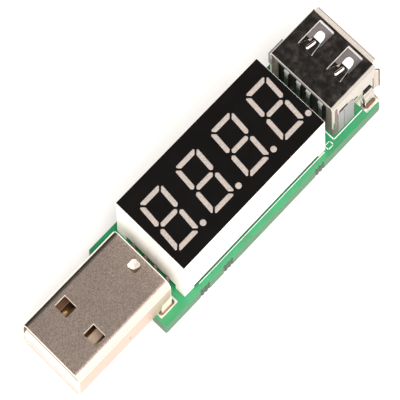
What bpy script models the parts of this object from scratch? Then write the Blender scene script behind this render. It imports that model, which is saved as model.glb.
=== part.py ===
"""USB power meter: plug, display and socket on one small circuit board.

Run with: blender --background --python part.py
Frame: +X towards the socket, +Y left, +Z up. The origin is under the middle of the
object's length, at the height of the lowest solder leg.
Sizes in this file are millimetres; MM turns them into Blender's metres.
"""
import math

import bmesh
import bpy
from mathutils import Matrix, Vector

MM = 0.001
GAP = 0.05            # clearance between two fitted pieces
OVERLAP = 0.2         # how far two shapes run into each other before they are fused

# Circuit board
BOARD_LENGTH = 46.0
BOARD_WIDTH = 16.2
BOARD_THICKNESS = 1.6
BOARD_REAR_X = -15.8  # the edge that carries the plug
BOARD_TOP = 3.1
BOARD_BOTTOM = BOARD_TOP - BOARD_THICKNESS
LEG_TIP_Z = 0.0

# Plug (USB type A, 12.0 x 4.5)
PLUG_TIP_X = -31.55
PLUG_LENGTH = 18.7
PLUG_REAR_X = PLUG_TIP_X + PLUG_LENGTH
PLUG_WIDTH = 12.0
PLUG_HEIGHT = 4.5
PLUG_WALL = 0.3
PLUG_CORNER = 1.0
PLUG_Y = -0.2
PLUG_BOTTOM = BOARD_TOP + GAP
PLUG_HOLLOW_DEPTH = 11.75
PLUG_TONGUE_HEIGHT = 1.95
WINDOW_LENGTH = 2.15
WINDOW_WIDTH = 2.55
WINDOW_FROM_TIP = 6.0
WINDOW_Y = 2.98
PLUG_LEG_X = -13.7
PLUG_LEG_LENGTH = 2.0
PLUG_LEG_SLOT = (2.95, 1.0)
CONTACT_Y = (3.5, 1.0, -1.0, -3.5)
CONTACT_WIDTH = 1.0
CONTACT_THICKNESS = 0.25
CONTACT_SETBACK = (1.1, 2.1, 2.1, 1.1)
PLUG_TAIL_X = PLUG_REAR_X + 0.55
TAIL_HOLE_RADIUS = 0.45

# Display: four digits of seven segments and a point
DISPLAY_X = 4.25
DISPLAY_LENGTH = 30.14
DISPLAY_WIDTH = 14.03
DISPLAY_TOP = BOARD_TOP + 7.2
FACE_THICKNESS = 0.15
HOUSING_WALL = 0.6
WELL_DEPTH = 5.35
DISPLAY_BOARD_THICKNESS = 0.8
FOOT_HEIGHT = 0.45
END_FOOT_HEIGHT = 0.85
DIGIT_COUNT = 4
DIGIT_PITCH = 7.53
FIRST_DIGIT_X = DISPLAY_X - 11.25
DIGIT_Y = -0.2
DIGIT_HALF_WIDTH = 2.0
DIGIT_ROW = 4.21
DIGIT_SLANT = 0.091
SEGMENT_HALF = 0.42
POINT_OFFSET = (2.95, -4.13)
POINT_RADIUS = 0.53
PIN_PITCH = 2.54
PIN_ROW_Y = 5.08
PINS_PER_ROW = 6
PIN_SIZE = 0.5

# Socket (USB type A receptacle, short body)
SOCKET_Y = -0.1
SOCKET_REAR_X = 21.5
SOCKET_FRONT_X = 30.8
SOCKET_MOUTH_X = 31.55
SOCKET_WIDTH = 13.1
SOCKET_TOP = BOARD_TOP + 6.85
SOCKET_HEIGHT = 5.7
SOCKET_BOTTOM = SOCKET_TOP - SOCKET_HEIGHT
SOCKET_WALL = 0.3
SOCKET_CORNER = 0.6
SOCKET_SKIRT_Z = BOARD_TOP + 0.3
SOCKET_SKIRT_X = (22.1, 26.0, 28.3)   # rear, step and front of the side skirts
SOCKET_SKIRT_STEP_Z = BOARD_TOP + 0.8
LAP_X = (22.55, 25.95)                # the folded-over panel on each side
LAP_TOP = BOARD_TOP + 4.45
LAP_STAND_OFF = 0.12
SIDE_SLOTS = (                        # x range and height range of the openings in each side
    ((22.85, 24.65), (BOARD_TOP + 4.6, BOARD_TOP + 4.95)),
    ((25.45, 26.85), (BOARD_TOP + 3.88, BOARD_TOP + 4.1)),
    ((28.05, 29.45), (BOARD_TOP + 2.35, BOARD_TOP + 3.9)),
)
REAR_FLAP_WIDTH = 1.5
REAR_FLAP_TOP = SOCKET_TOP - 0.7
FLARE_RISE = 0.45
SOCKET_LEG_X = 29.15
SOCKET_LEG_LENGTH = 2.0
SOCKET_LEG_SLOT = (2.4, 1.0)
SOCKET_TAIL_X = 21.85
INSULATOR_REAR_X = 22.1
TONGUE_FRONT_X = 30.75
TONGUE_WIDTH = 11.0
TONGUE_BOTTOM = BOARD_TOP + 4.03
TONGUE_TOP = BOARD_TOP + 5.85
INSULATOR_FRONT_X = 23.0
GROOVE_WIDTH = 1.3
GROOVE_DEPTH = 0.95
GROOVE_REAR_X = 23.55
GROOVE_FRONT_X = 29.95

# Springs cut from the socket's shell
SPRING_Y = 2.95
SPRING_ROOT_X = 25.35
SPRING_STATIONS = (   # distance from the root, drop of the upper face, half width
    (0.10, 0.00, 1.22),
    (0.45, 0.05, 1.18),
    (1.40, 0.36, 1.02),
    (2.40, 0.62, 0.85),
    (2.75, 0.66, 0.80),
    (3.10, 0.58, 0.76),
    (3.60, 0.30, 0.66),
    (3.95, 0.02, 0.50),
)
SPRING_THICKNESS = 0.25
SPRING_OPENING = (5.05, 2.95)
SPRING_SLOT = (0.35, 2.1, 0.5)   # start, end and width of the slot along the spring

# Contact beams of the socket
BEAM_ROOT_X = 23.75
BEAM_STATIONS = (     # distance from the root, drop of the upper face below the groove floor
    (0.05, 0.16),
    (3.60, 0.55),
    (4.80, 0.90),
    (5.30, 0.92),
    (6.05, 0.50),
)
BEAM_WIDTH = 0.9
BEAM_THICKNESS = 0.22


def remove_existing_objects():
    for existing in list(bpy.data.objects):
        bpy.data.objects.remove(existing, do_unlink=True)


def make_material(name, colour, roughness, metallic=0.0):
    material = bpy.data.materials.new(name)
    material.use_nodes = True
    shader = material.node_tree.nodes["Principled BSDF"]
    shader.inputs["Base Color"].default_value = (*colour, 1.0)
    shader.inputs["Roughness"].default_value = roughness
    shader.inputs["Metallic"].default_value = metallic
    material.diffuse_color = (*colour, 1.0)
    return material


def add_object(name, shape, material, origin=(0.0, 0.0, 0.0), smooth=False):
    """Make an object from a shape in millimetres, with its origin at a world point."""
    origin = Vector(origin) * MM
    bmesh.ops.recalc_face_normals(shape, faces=shape.faces)
    bmesh.ops.transform(shape, matrix=Matrix.Scale(MM, 4), verts=shape.verts)
    bmesh.ops.transform(shape, matrix=Matrix.Translation(-origin), verts=shape.verts)
    mesh = bpy.data.meshes.new(name)
    shape.to_mesh(mesh)
    shape.free()
    if smooth:
        mesh.shade_smooth()
        mesh.set_sharp_from_angle(angle=math.radians(30))
    thing = bpy.data.objects.new(name, mesh)
    thing.location = origin
    bpy.context.collection.objects.link(thing)
    if material:
        mesh.materials.append(material)
    return thing


def combine(thing, tool_shape, operation):
    """Cut or fuse a hidden tool shape with an object, by the exact solver."""
    tool = add_object(f"{thing.name}_{operation.lower()}_{len(thing.modifiers)}", tool_shape, None)
    tool.hide_render = True
    tool.display_type = "WIRE"
    modifier = thing.modifiers.new(operation.title(), "BOOLEAN")
    modifier.operation = operation
    modifier.object = tool
    modifier.solver = "EXACT"


def cut(thing, tool_shape):
    combine(thing, tool_shape, "DIFFERENCE")


def fuse(thing, tool_shape):
    combine(thing, tool_shape, "UNION")


def block(shape, x_range, y_range, z_range):
    """Add a box between two limits along each axis."""
    low = Vector((x_range[0], y_range[0], z_range[0]))
    high = Vector((x_range[1], y_range[1], z_range[1]))
    size = high - low
    matrix = Matrix.Translation((low + high) / 2) @ Matrix.Diagonal((*size, 1.0))
    bmesh.ops.create_cube(shape, size=1.0, matrix=matrix)
    return shape


def new_block(x_range, y_range, z_range):
    return block(bmesh.new(), x_range, y_range, z_range)


def middle(centre, size):
    return (centre - size / 2, centre + size / 2)


def loft(shape, sections):
    """Join a row of point rings of equal length into one closed body."""
    rings = [[shape.verts.new(point) for point in section] for section in sections]
    shape.faces.new(rings[0])
    shape.faces.new(rings[-1])
    count = len(rings[0])
    for ring, following in zip(rings, rings[1:]):
        for i in range(count):
            j = (i + 1) % count
            shape.faces.new((ring[i], ring[j], following[j], following[i]))
    return shape


def prism_z(shape, outline, low, high):
    """Extrude an outline in the XY plane between two heights."""
    return loft(shape, [[(x, y, z) for x, y in outline] for z in (low, high)])


def prism_x(shape, outline, low, high):
    """Extrude an outline in the YZ plane between two X positions."""
    return loft(shape, [[(x, y, z) for y, z in outline] for x in (low, high)])


def prism_y(shape, outline, low, high):
    """Extrude an outline in the XZ plane between two Y positions."""
    return loft(shape, [[(x, y, z) for x, z in outline] for y in (low, high)])


def ring_points(centre, radius, count):
    turn = 2 * math.pi / count
    return [
        (
            centre[0] + radius * math.cos(turn * (i + 0.5)),
            centre[1] + radius * math.sin(turn * (i + 0.5)),
        )
        for i in range(count)
    ]


def rounded_rectangle(centre, size, radius, steps=4):
    """Outline of a rectangle with round corners, as a list of points."""
    points = []
    for quarter, (sx, sy) in enumerate(((1, 1), (-1, 1), (-1, -1), (1, -1))):
        corner_x = centre[0] + sx * (size[0] / 2 - radius)
        corner_y = centre[1] + sy * (size[1] / 2 - radius)
        for step in range(steps + 1):
            angle = math.pi / 2 * (quarter + step / steps)
            points.append((corner_x + radius * math.cos(angle), corner_y + radius * math.sin(angle)))
    return points


def stadium(centre, size, steps=4):
    """Outline of a slot with round ends."""
    return rounded_rectangle(centre, size, min(size) / 2 - 0.001, steps)


# Where the pins and legs pass through the board

def plug_leg_y(side):
    return PLUG_Y + side * (PLUG_WIDTH / 2 - PLUG_WALL / 2)


def socket_leg_y(side):
    return SOCKET_Y + side * (SOCKET_WIDTH / 2 + 0.25)


def display_pin_places():
    first = DISPLAY_X - PIN_PITCH * (PINS_PER_ROW - 1) / 2
    return [
        (first + PIN_PITCH * i, side * PIN_ROW_Y)
        for side in (-1, 1)
        for i in range(PINS_PER_ROW)
    ]


def build_board(material):
    x_range = (BOARD_REAR_X, BOARD_REAR_X + BOARD_LENGTH)
    board = add_object(
        "circuit_board",
        new_block(x_range, middle(0.0, BOARD_WIDTH), (BOARD_BOTTOM, BOARD_TOP)),
        material,
    )
    holes = bmesh.new()
    depth = (BOARD_BOTTOM - 1.0, BOARD_TOP + 1.0)
    for side in (-1, 1):
        prism_z(holes, stadium((PLUG_LEG_X, plug_leg_y(side)), PLUG_LEG_SLOT), *depth)
        prism_z(holes, stadium((SOCKET_LEG_X, socket_leg_y(side)), SOCKET_LEG_SLOT), *depth)
    for y in CONTACT_Y:
        prism_z(holes, ring_points((PLUG_TAIL_X, PLUG_Y + y), TAIL_HOLE_RADIUS, 8), *depth)
        prism_z(holes, ring_points((SOCKET_TAIL_X, SOCKET_Y + y), TAIL_HOLE_RADIUS, 8), *depth)
    for place in display_pin_places():
        prism_z(holes, ring_points(place, TAIL_HOLE_RADIUS, 8), *depth)
    cut(board, holes)
    return board


def build_plug_shell(material):
    centre = (PLUG_Y, PLUG_BOTTOM + PLUG_HEIGHT / 2)
    outer = rounded_rectangle(centre, (PLUG_WIDTH, PLUG_HEIGHT), PLUG_CORNER)
    inner_size = (PLUG_WIDTH - 2 * PLUG_WALL, PLUG_HEIGHT - 2 * PLUG_WALL)
    inner = rounded_rectangle(centre, inner_size, PLUG_CORNER - PLUG_WALL)
    tube = prism_x(bmesh.new(), outer, PLUG_TIP_X, PLUG_REAR_X)
    shell = add_object("plug_shell", tube, material, smooth=True)
    cut(shell, prism_x(bmesh.new(), inner, PLUG_TIP_X - 1, PLUG_REAR_X + 1))
    windows = bmesh.new()
    for side in (-1, 1):
        block(
            windows,
            middle(PLUG_TIP_X + WINDOW_FROM_TIP, WINDOW_LENGTH),
            middle(PLUG_Y + side * WINDOW_Y, WINDOW_WIDTH),
            (PLUG_BOTTOM - 1, PLUG_BOTTOM + PLUG_HEIGHT + 1),
        )
    cut(shell, windows)
    legs = bmesh.new()
    for side in (-1, 1):
        block(
            legs,
            middle(PLUG_LEG_X, PLUG_LEG_LENGTH),
            middle(plug_leg_y(side), PLUG_WALL - 0.02),
            (LEG_TIP_Z, PLUG_BOTTOM + PLUG_HEIGHT / 2),
        )
    fuse(shell, legs)
    return shell


def build_plug_insulator(material):
    floor = PLUG_BOTTOM + PLUG_WALL + GAP
    inner_width = PLUG_WIDTH - 2 * (PLUG_WALL + GAP)
    hollow_end = PLUG_TIP_X + PLUG_HOLLOW_DEPTH
    centre = (PLUG_Y, PLUG_BOTTOM + PLUG_HEIGHT / 2)
    profile = rounded_rectangle(
        centre, (inner_width, PLUG_HEIGHT - 2 * (PLUG_WALL + GAP)), PLUG_CORNER - PLUG_WALL - GAP
    )
    insulator = add_object(
        "plug_insulator", prism_x(bmesh.new(), profile, PLUG_TIP_X + 0.2, PLUG_REAR_X - 0.1), material
    )
    tongue_top = floor + PLUG_TONGUE_HEIGHT - GAP
    cut(
        insulator,
        new_block(
            (PLUG_TIP_X - 1, hollow_end),
            middle(PLUG_Y, PLUG_WIDTH),
            (tongue_top, PLUG_BOTTOM + PLUG_HEIGHT),
        ),
    )
    grooves = bmesh.new()
    for y, setback in zip(CONTACT_Y, CONTACT_SETBACK):
        block(
            grooves,
            (PLUG_TIP_X + setback - GAP, PLUG_REAR_X + 1),
            middle(PLUG_Y + y, CONTACT_WIDTH + 2 * GAP),
            (tongue_top - CONTACT_THICKNESS - GAP + 0.05, tongue_top + 0.1),
        )
    cut(insulator, grooves)
    return insulator


def build_plug_contacts(material):
    floor = PLUG_BOTTOM + PLUG_WALL + GAP
    top = floor + PLUG_TONGUE_HEIGHT - GAP + 0.05
    for number, (y, setback) in enumerate(zip(CONTACT_Y, CONTACT_SETBACK), start=1):
        contact = add_object(
            f"plug_contact_{number}",
            new_block(
                (PLUG_TIP_X + setback, PLUG_TAIL_X + CONTACT_THICKNESS / 2),
                middle(PLUG_Y + y, CONTACT_WIDTH),
                (top - CONTACT_THICKNESS, top),
            ),
            material,
        )
        tail = new_block(
            middle(PLUG_TAIL_X, CONTACT_THICKNESS + 0.05),
            middle(PLUG_Y + y, 0.5),
            (BOARD_BOTTOM - 0.9, top - 0.05),
        )
        fuse(contact, tail)


# Display

def segment_outlines(centre_x):
    """The seven segment outlines of one slanted digit, around its centre."""
    h = SEGMENT_HALF
    w = DIGIT_HALF_WIDTH
    r = DIGIT_ROW

    def level(y, side):
        """A top or bottom bar, mitred at both ends; side is +1 at the top."""
        s = side
        half = [(w - 0.56, y - s * h), (w - 0.02, y + s * h * 0.43), (w - 0.17, y + s * h)]
        return half + [(-x, point_y) for x, point_y in reversed(half)]

    def middle_bar():
        half = [(w - 0.57, -h), (w - 0.25, 0.0), (w - 0.57, h)]
        return half + [(-x, y) for x, y in reversed(half)]

    def upright(x_side, y_side):
        """An outer bar: mitred at the corner, pointed at the middle."""
        sx, sy = x_side, y_side
        return [
            (sx * w - sx * h, sy * (r - 0.58)),
            (sx * w + sx * h * 0.5, sy * (r - 0.02)),
            (sx * (w + h), sy * (r - 0.17)),
            (sx * (w + h), sy * 0.57),
            (sx * w, sy * 0.24),
            (sx * (w - h), sy * 0.57),
        ]

    outlines = [level(r, 1), middle_bar(), level(-r, -1)]
    outlines += [upright(sx, sy) for sx in (-1, 1) for sy in (-1, 1)]
    return [
        [(centre_x + x + DIGIT_SLANT * y, DIGIT_Y + y) for x, y in outline]
        for outline in outlines
    ]


def grow(outline, amount):
    """Move each corner of a convex outline outwards by about the same amount."""
    cx = sum(x for x, y in outline) / len(outline)
    cy = sum(y for x, y in outline) / len(outline)
    half_x = max(abs(x - cx) for x, y in outline)
    half_y = max(abs(y - cy) for x, y in outline)
    scale_x = 1 + amount / half_x
    scale_y = 1 + amount / half_y
    return [(cx + (x - cx) * scale_x, cy + (y - cy) * scale_y) for x, y in outline]


def light_outlines():
    """Outlines of every light area: the segments and the decimal points."""
    outlines = []
    for digit in range(DIGIT_COUNT):
        centre_x = FIRST_DIGIT_X + digit * DIGIT_PITCH
        outlines += segment_outlines(centre_x)
        point = (centre_x + POINT_OFFSET[0], DIGIT_Y + POINT_OFFSET[1])
        outlines.append(ring_points(point, POINT_RADIUS, 12))
    return outlines


def display_outline(shrink=0.0):
    return (
        middle(DISPLAY_X, DISPLAY_LENGTH - 2 * shrink),
        middle(0.0, DISPLAY_WIDTH - 2 * shrink),
    )


def build_display_housing(material):
    top = DISPLAY_TOP - FACE_THICKNESS - GAP
    floor = BOARD_TOP + GAP
    x_range, y_range = display_outline()
    housing = add_object("display_housing", new_block(x_range, y_range, (floor, top)), material)
    pocket = bmesh.new()
    inner_x, inner_y = display_outline(HOUSING_WALL)
    block(pocket, inner_x, inner_y, (floor - 1, top - WELL_DEPTH))
    cut(housing, pocket)
    wells = bmesh.new()
    for outline in light_outlines():
        prism_z(wells, outline, top - WELL_DEPTH - 0.5, top + 1)
    cut(housing, wells)
    relief = bmesh.new()
    long_x = middle(DISPLAY_X, DISPLAY_LENGTH - 4.0)
    long_y = middle(0.0, DISPLAY_WIDTH - 3.6)
    block(relief, long_x, (y_range[0] - 1, y_range[1] + 1), (floor - 1, floor + FOOT_HEIGHT))
    block(relief, (x_range[0] - 1, x_range[1] + 1), long_y, (floor - 1, floor + END_FOOT_HEIGHT))
    cut(housing, relief)
    return housing


def build_display_face(material):
    x_range, y_range = display_outline()
    face = add_object(
        "display_face",
        new_block(x_range, y_range, (DISPLAY_TOP - FACE_THICKNESS, DISPLAY_TOP)),
        material,
    )
    windows = bmesh.new()
    for outline in light_outlines():
        prism_z(windows, outline, DISPLAY_TOP - 1, DISPLAY_TOP + 1)
    cut(face, windows)
    return face


def build_display_epoxy(material):
    """The clear casting: a base slab with a raised light guide for each light area."""
    top = DISPLAY_TOP - FACE_THICKNESS - GAP
    slab_top = top - WELL_DEPTH - GAP
    slab_bottom = slab_top - 0.3
    x_range, y_range = display_outline(HOUSING_WALL + GAP)
    epoxy = add_object("display_epoxy", new_block(x_range, y_range, (slab_bottom, slab_top)), material)
    guides = bmesh.new()
    for outline in light_outlines():
        prism_z(guides, grow(outline, -GAP), slab_bottom + 0.1, DISPLAY_TOP - 0.04)
    fuse(epoxy, guides)
    return epoxy


def build_display_board(material):
    top = DISPLAY_TOP - FACE_THICKNESS - 2 * GAP - WELL_DEPTH - 0.3 - GAP
    x_range, y_range = display_outline(HOUSING_WALL + GAP)
    z_range = (top - DISPLAY_BOARD_THICKNESS, top)
    board = add_object("display_board", new_block(x_range, y_range, z_range), material)
    holes = bmesh.new()
    for place in display_pin_places():
        prism_z(holes, ring_points(place, TAIL_HOLE_RADIUS, 8), z_range[0] - 1, z_range[1] + 1)
    cut(board, holes)
    return top


def build_display_pins(material, top):
    for number, (x, y) in enumerate(display_pin_places(), start=1):
        add_object(
            f"display_pin_{number}",
            new_block(middle(x, PIN_SIZE), middle(y, 0.25), (BOARD_BOTTOM - 1.2, top - 0.1)),
            material,
        )


# Socket

def build_socket_shell(material):
    centre = (SOCKET_Y, (SOCKET_TOP + SOCKET_BOTTOM) / 2)
    outer = rounded_rectangle(centre, (SOCKET_WIDTH, SOCKET_HEIGHT), SOCKET_CORNER)
    inner_size = (SOCKET_WIDTH - 2 * SOCKET_WALL, SOCKET_HEIGHT - 2 * SOCKET_WALL)
    inner = rounded_rectangle(centre, inner_size, SOCKET_CORNER - SOCKET_WALL)
    shell = add_object(
        "socket_shell", prism_x(bmesh.new(), outer, SOCKET_REAR_X, SOCKET_FRONT_X), material, smooth=True
    )
    fuse(shell, socket_flares())
    fuse(shell, socket_skirts())
    fuse(shell, socket_laps())
    fuse(shell, socket_legs())
    cut(shell, prism_x(bmesh.new(), inner, SOCKET_REAR_X - 1, SOCKET_MOUTH_X + 1))
    cut(shell, spring_openings())
    cut(shell, side_slots())
    cut(shell, new_block(
        (SOCKET_REAR_X - 1, INSULATOR_FRONT_X),
        middle(SOCKET_Y, SOCKET_WIDTH - 2 * SOCKET_WALL),
        (SOCKET_BOTTOM - 1, SOCKET_BOTTOM + 1),
    ))
    fuse(shell, socket_rear_flaps())
    return shell


def flare_plate(shape, side_axis, sign, half_span):
    """One flared lip of the mouth; it leans outwards by FLARE_RISE."""
    front, root = SOCKET_MOUTH_X, SOCKET_FRONT_X - OVERLAP
    t = SOCKET_WALL
    centre_z = (SOCKET_TOP + SOCKET_BOTTOM) / 2
    sections = []
    for along in (-half_span, half_span):
        tip = along * 0.94
        if side_axis == "z":
            face = centre_z + sign * SOCKET_HEIGHT / 2
            sections.append([
                (root, SOCKET_Y + along, face - sign * t),
                (root, SOCKET_Y + along, face),
                (SOCKET_FRONT_X, SOCKET_Y + along, face),
                (front, SOCKET_Y + tip, face + sign * FLARE_RISE),
                (front, SOCKET_Y + tip, face + sign * (FLARE_RISE - t)),
                (SOCKET_FRONT_X, SOCKET_Y + along, face - sign * t),
            ])
        else:
            face = SOCKET_Y + sign * SOCKET_WIDTH / 2
            sections.append([
                (root, face - sign * t, centre_z + along),
                (root, face, centre_z + along),
                (SOCKET_FRONT_X, face, centre_z + along),
                (front, face + sign * FLARE_RISE, centre_z + tip),
                (front, face + sign * (FLARE_RISE - t), centre_z + tip),
                (SOCKET_FRONT_X, face - sign * t, centre_z + along),
            ])
    loft(shape, sections)


def socket_flares():
    shape = bmesh.new()
    for sign in (-1, 1):
        flare_plate(shape, "z", sign, SOCKET_WIDTH / 2 - 0.9)
        flare_plate(shape, "y", sign, SOCKET_HEIGHT / 2 - 0.75)
    return shape


def socket_skirts():
    """Stepped skirts that carry each side wall down towards the board."""
    shape = bmesh.new()
    middle_z = (SOCKET_TOP + SOCKET_BOTTOM) / 2
    rear, step, front = SOCKET_SKIRT_X
    outline = [
        (rear, SOCKET_SKIRT_Z), (step, SOCKET_SKIRT_Z), (step, SOCKET_SKIRT_STEP_Z),
        (front, SOCKET_SKIRT_STEP_Z), (front, middle_z), (rear, middle_z),
    ]
    for side in (-1, 1):
        wall = SOCKET_Y + side * (SOCKET_WIDTH / 2 - SOCKET_WALL / 2)
        prism_y(shape, outline, *middle(wall, SOCKET_WALL - 0.02))
    return shape


def socket_laps():
    """The panel folded over the outside of each side wall."""
    shape = bmesh.new()
    for side in (-1, 1):
        wall = SOCKET_Y + side * SOCKET_WIDTH / 2
        lap_y = sorted((wall - side * SOCKET_WALL / 2, wall + side * LAP_STAND_OFF))
        block(shape, LAP_X, lap_y, (SOCKET_SKIRT_Z + 0.02, LAP_TOP))
    return shape


def socket_legs():
    """A cranked solder leg on each side, bent out from the wall near the mouth."""
    shape = bmesh.new()
    shoulder_z = (BOARD_TOP + 1.9, BOARD_TOP + 2.2)
    for side in (-1, 1):
        wall_y = SOCKET_Y + side * (SOCKET_WIDTH / 2 - SOCKET_WALL + 0.01)
        near_y = socket_leg_y(side) - side * SOCKET_WALL / 2
        far_y = socket_leg_y(side) + side * SOCKET_WALL / 2
        crank = [
            (wall_y, shoulder_z[0]), (wall_y, shoulder_z[1]), (far_y, shoulder_z[1]),
            (far_y, LEG_TIP_Z), (near_y, LEG_TIP_Z), (near_y, shoulder_z[0]),
        ]
        prism_x(shape, crank, *middle(SOCKET_LEG_X, SOCKET_LEG_LENGTH))
    return shape


def socket_rear_flaps():
    """The rear edge of each side wall, bent inwards across the back."""
    shape = bmesh.new()
    flap_x = (SOCKET_REAR_X + 0.01, SOCKET_REAR_X + SOCKET_WALL)
    for side in (-1, 1):
        outer = SOCKET_Y + side * (SOCKET_WIDTH / 2 - 0.01)
        flap_y = sorted((outer, outer - side * REAR_FLAP_WIDTH))
        block(shape, flap_x, flap_y, (SOCKET_SKIRT_Z, REAR_FLAP_TOP))
    return shape


def side_slots():
    shape = bmesh.new()
    for x_range, z_range in SIDE_SLOTS:
        for side in (-1, 1):
            wall = SOCKET_Y + side * SOCKET_WIDTH / 2
            block(shape, x_range, middle(wall, 1.0), z_range)
    return shape


def spring_openings():
    shape = bmesh.new()
    length, width = SPRING_OPENING
    x_range = (SPRING_ROOT_X, SPRING_ROOT_X + length)
    for side in (-1, 1):
        for z in (SOCKET_TOP, SOCKET_BOTTOM):
            block(shape, x_range, middle(SOCKET_Y + side * SPRING_Y, width), middle(z, 1.4))
    return shape


def build_socket_insulator(material):
    """The moulded body: a rear block, a foot on the board and the tongue with its grooves."""
    body_width = SOCKET_WIDTH - 2 * (SOCKET_WALL + GAP)
    rear = INSULATOR_REAR_X
    insulator = add_object(
        "socket_insulator",
        new_block(
            (rear, INSULATOR_FRONT_X - GAP),
            middle(SOCKET_Y, body_width),
            (SOCKET_SKIRT_Z, SOCKET_TOP - SOCKET_WALL - GAP),
        ),
        material,
    )
    corners = bmesh.new()
    for side in (-1, 1):
        y = SOCKET_Y + side * body_width / 2
        block(corners, (rear - 1, 24), middle(y, 0.8), (SOCKET_TOP - SOCKET_WALL - 0.4, SOCKET_TOP))
    cut(insulator, corners)
    fuse(insulator, new_block(
        (INSULATOR_FRONT_X - OVERLAP, TONGUE_FRONT_X),
        middle(SOCKET_Y, TONGUE_WIDTH),
        (TONGUE_BOTTOM, TONGUE_TOP),
    ))
    grooves = bmesh.new()
    slot_low, slot_high = tail_slot_z()
    outline = [
        (rear - 1, slot_low), (GROOVE_REAR_X, slot_low), (GROOVE_REAR_X, TONGUE_BOTTOM - 1),
        (GROOVE_FRONT_X, TONGUE_BOTTOM - 1), (GROOVE_FRONT_X, slot_high), (rear - 1, slot_high),
    ]
    for y in CONTACT_Y:
        prism_y(grooves, outline, *middle(SOCKET_Y + y, GROOVE_WIDTH))
    cut(insulator, grooves)
    return insulator


def tail_slot_z():
    top = TONGUE_BOTTOM + GROOVE_DEPTH
    return (top - 0.36, top)


def build_socket_contacts(material):
    """Fixed half of each contact: a bar through the body and a tail through the board."""
    slot_low, slot_high = tail_slot_z()
    for number, y in enumerate(CONTACT_Y, start=1):
        centre_y = SOCKET_Y + y
        bar_z = (slot_low + GAP, slot_high - GAP)
        contact = add_object(
            f"socket_contact_{number}",
            new_block((SOCKET_TAIL_X - 0.125, BEAM_ROOT_X - 0.05), middle(centre_y, BEAM_WIDTH), bar_z),
            material,
        )
        tail_z = (BOARD_BOTTOM - 0.9, bar_z[1] - 0.02)
        tail = new_block(middle(SOCKET_TAIL_X, 0.25), middle(centre_y, 0.6), tail_z)
        fuse(contact, tail)


def strip(shape, stations, centre_y, thickness, direction):
    """Loft a strip of sheet along X. A station is x, the upper face's height and a half width."""
    sections = []
    for x, z, half in stations:
        low = z - direction * thickness
        sections.append([
            (x, centre_y - half, z),
            (x, centre_y + half, z),
            (x, centre_y + half, low),
            (x, centre_y - half, low),
        ])
    return loft(shape, sections)


def build_contact_beams(material):
    """Springy half of each contact, hinged at its root where the real strip bends."""
    groove_floor = TONGUE_BOTTOM + GROOVE_DEPTH
    for number, y in enumerate(CONTACT_Y, start=1):
        stations = [(BEAM_ROOT_X + x, groove_floor - drop, BEAM_WIDTH / 2) for x, drop in BEAM_STATIONS]
        root = (BEAM_ROOT_X, SOCKET_Y + y, groove_floor - 0.25)
        shape = strip(bmesh.new(), stations, SOCKET_Y + y, BEAM_THICKNESS, 1)
        add_object(f"socket_contact_beam_{number}", shape, material, origin=root)


def build_socket_springs(material):
    """The four sprung fingers of the shell, hinged at their roots."""
    for row, plate, direction in (("top", SOCKET_TOP, 1), ("bottom", SOCKET_BOTTOM, -1)):
        for side_name, side in (("left", 1), ("right", -1)):
            centre_y = SOCKET_Y + side * SPRING_Y
            stations = [
                (SPRING_ROOT_X + x, plate - direction * drop, half) for x, drop, half in SPRING_STATIONS
            ]
            root = (SPRING_ROOT_X, centre_y, plate - direction * SOCKET_WALL / 2)
            shape = strip(bmesh.new(), stations, centre_y, SPRING_THICKNESS, direction)
            spring = add_object(f"socket_spring_{row}_{side_name}", shape, material, origin=root)
            start, end, width = SPRING_SLOT
            slot = stadium((SPRING_ROOT_X + (start + end) / 2, centre_y), (end - start, width), 3)
            cut(spring, prism_z(bmesh.new(), slot, plate - 2, plate + 2))


# Parts on the underside

def surface_block(name, centre, size, height, material):
    """A chip-shaped part hanging under the board."""
    return add_object(
        name,
        new_block(
            middle(centre[0], size[0]),
            middle(centre[1], size[1]),
            (BOARD_BOTTOM - GAP - height, BOARD_BOTTOM - GAP),
        ),
        material,
    )


def gull_leads(centre, body, count, pitch, lead_width, reach):
    """Two rows of leads on the long sides of a chip, as one shape."""
    shape = bmesh.new()
    first = centre[0] - pitch * (count - 1) / 2
    for i in range(count):
        for side in (-1, 1):
            near = centre[1] + side * (body[1] / 2 - OVERLAP)
            far = centre[1] + side * (body[1] / 2 + reach)
            block(
                shape,
                middle(first + i * pitch, lead_width),
                (min(near, far), max(near, far)),
                (BOARD_BOTTOM - GAP - 0.35, BOARD_BOTTOM - GAP - 0.02),
            )
    return shape


def build_underside(materials):
    chip_centre, chip_body = (6.3, 0.0), (6.5, 4.4)
    chip = surface_block("microcontroller", chip_centre, chip_body, 1.05, materials["chip"])
    fuse(chip, gull_leads(chip_centre, chip_body, 10, 0.65, 0.22, 0.9))
    regulator_centre, regulator_body = (-6.4, 4.4), (2.9, 1.4)
    regulator = surface_block("voltage_regulator", regulator_centre, regulator_body, 1.0, materials["chip"])
    fuse(regulator, gull_leads(regulator_centre, regulator_body, 2, 1.9, 0.4, 0.5))
    amplifier_centre = (18.6, -4.2)
    amplifier = surface_block("sense_amplifier", amplifier_centre, regulator_body, 1.0, materials["chip"])
    fuse(amplifier, gull_leads(amplifier_centre, regulator_body, 3, 0.95, 0.3, 0.5))
    surface_block("current_shunt", (18.4, 2.6), (3.1, 6.2), 0.55, materials["shunt"])
    for number, x in enumerate((-9.2, -3.2, 14.8), start=1):
        surface_block(f"capacitor_{number}", (x, -0.4), (1.25, 2.0), 0.8, materials["capacitor"])
    for number in range(1, 9):
        x = -2.6 + 2.0 * number
        surface_block(f"resistor_{number}", (x, 6.9), (0.85, 1.6), 0.45, materials["resistor"])


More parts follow.
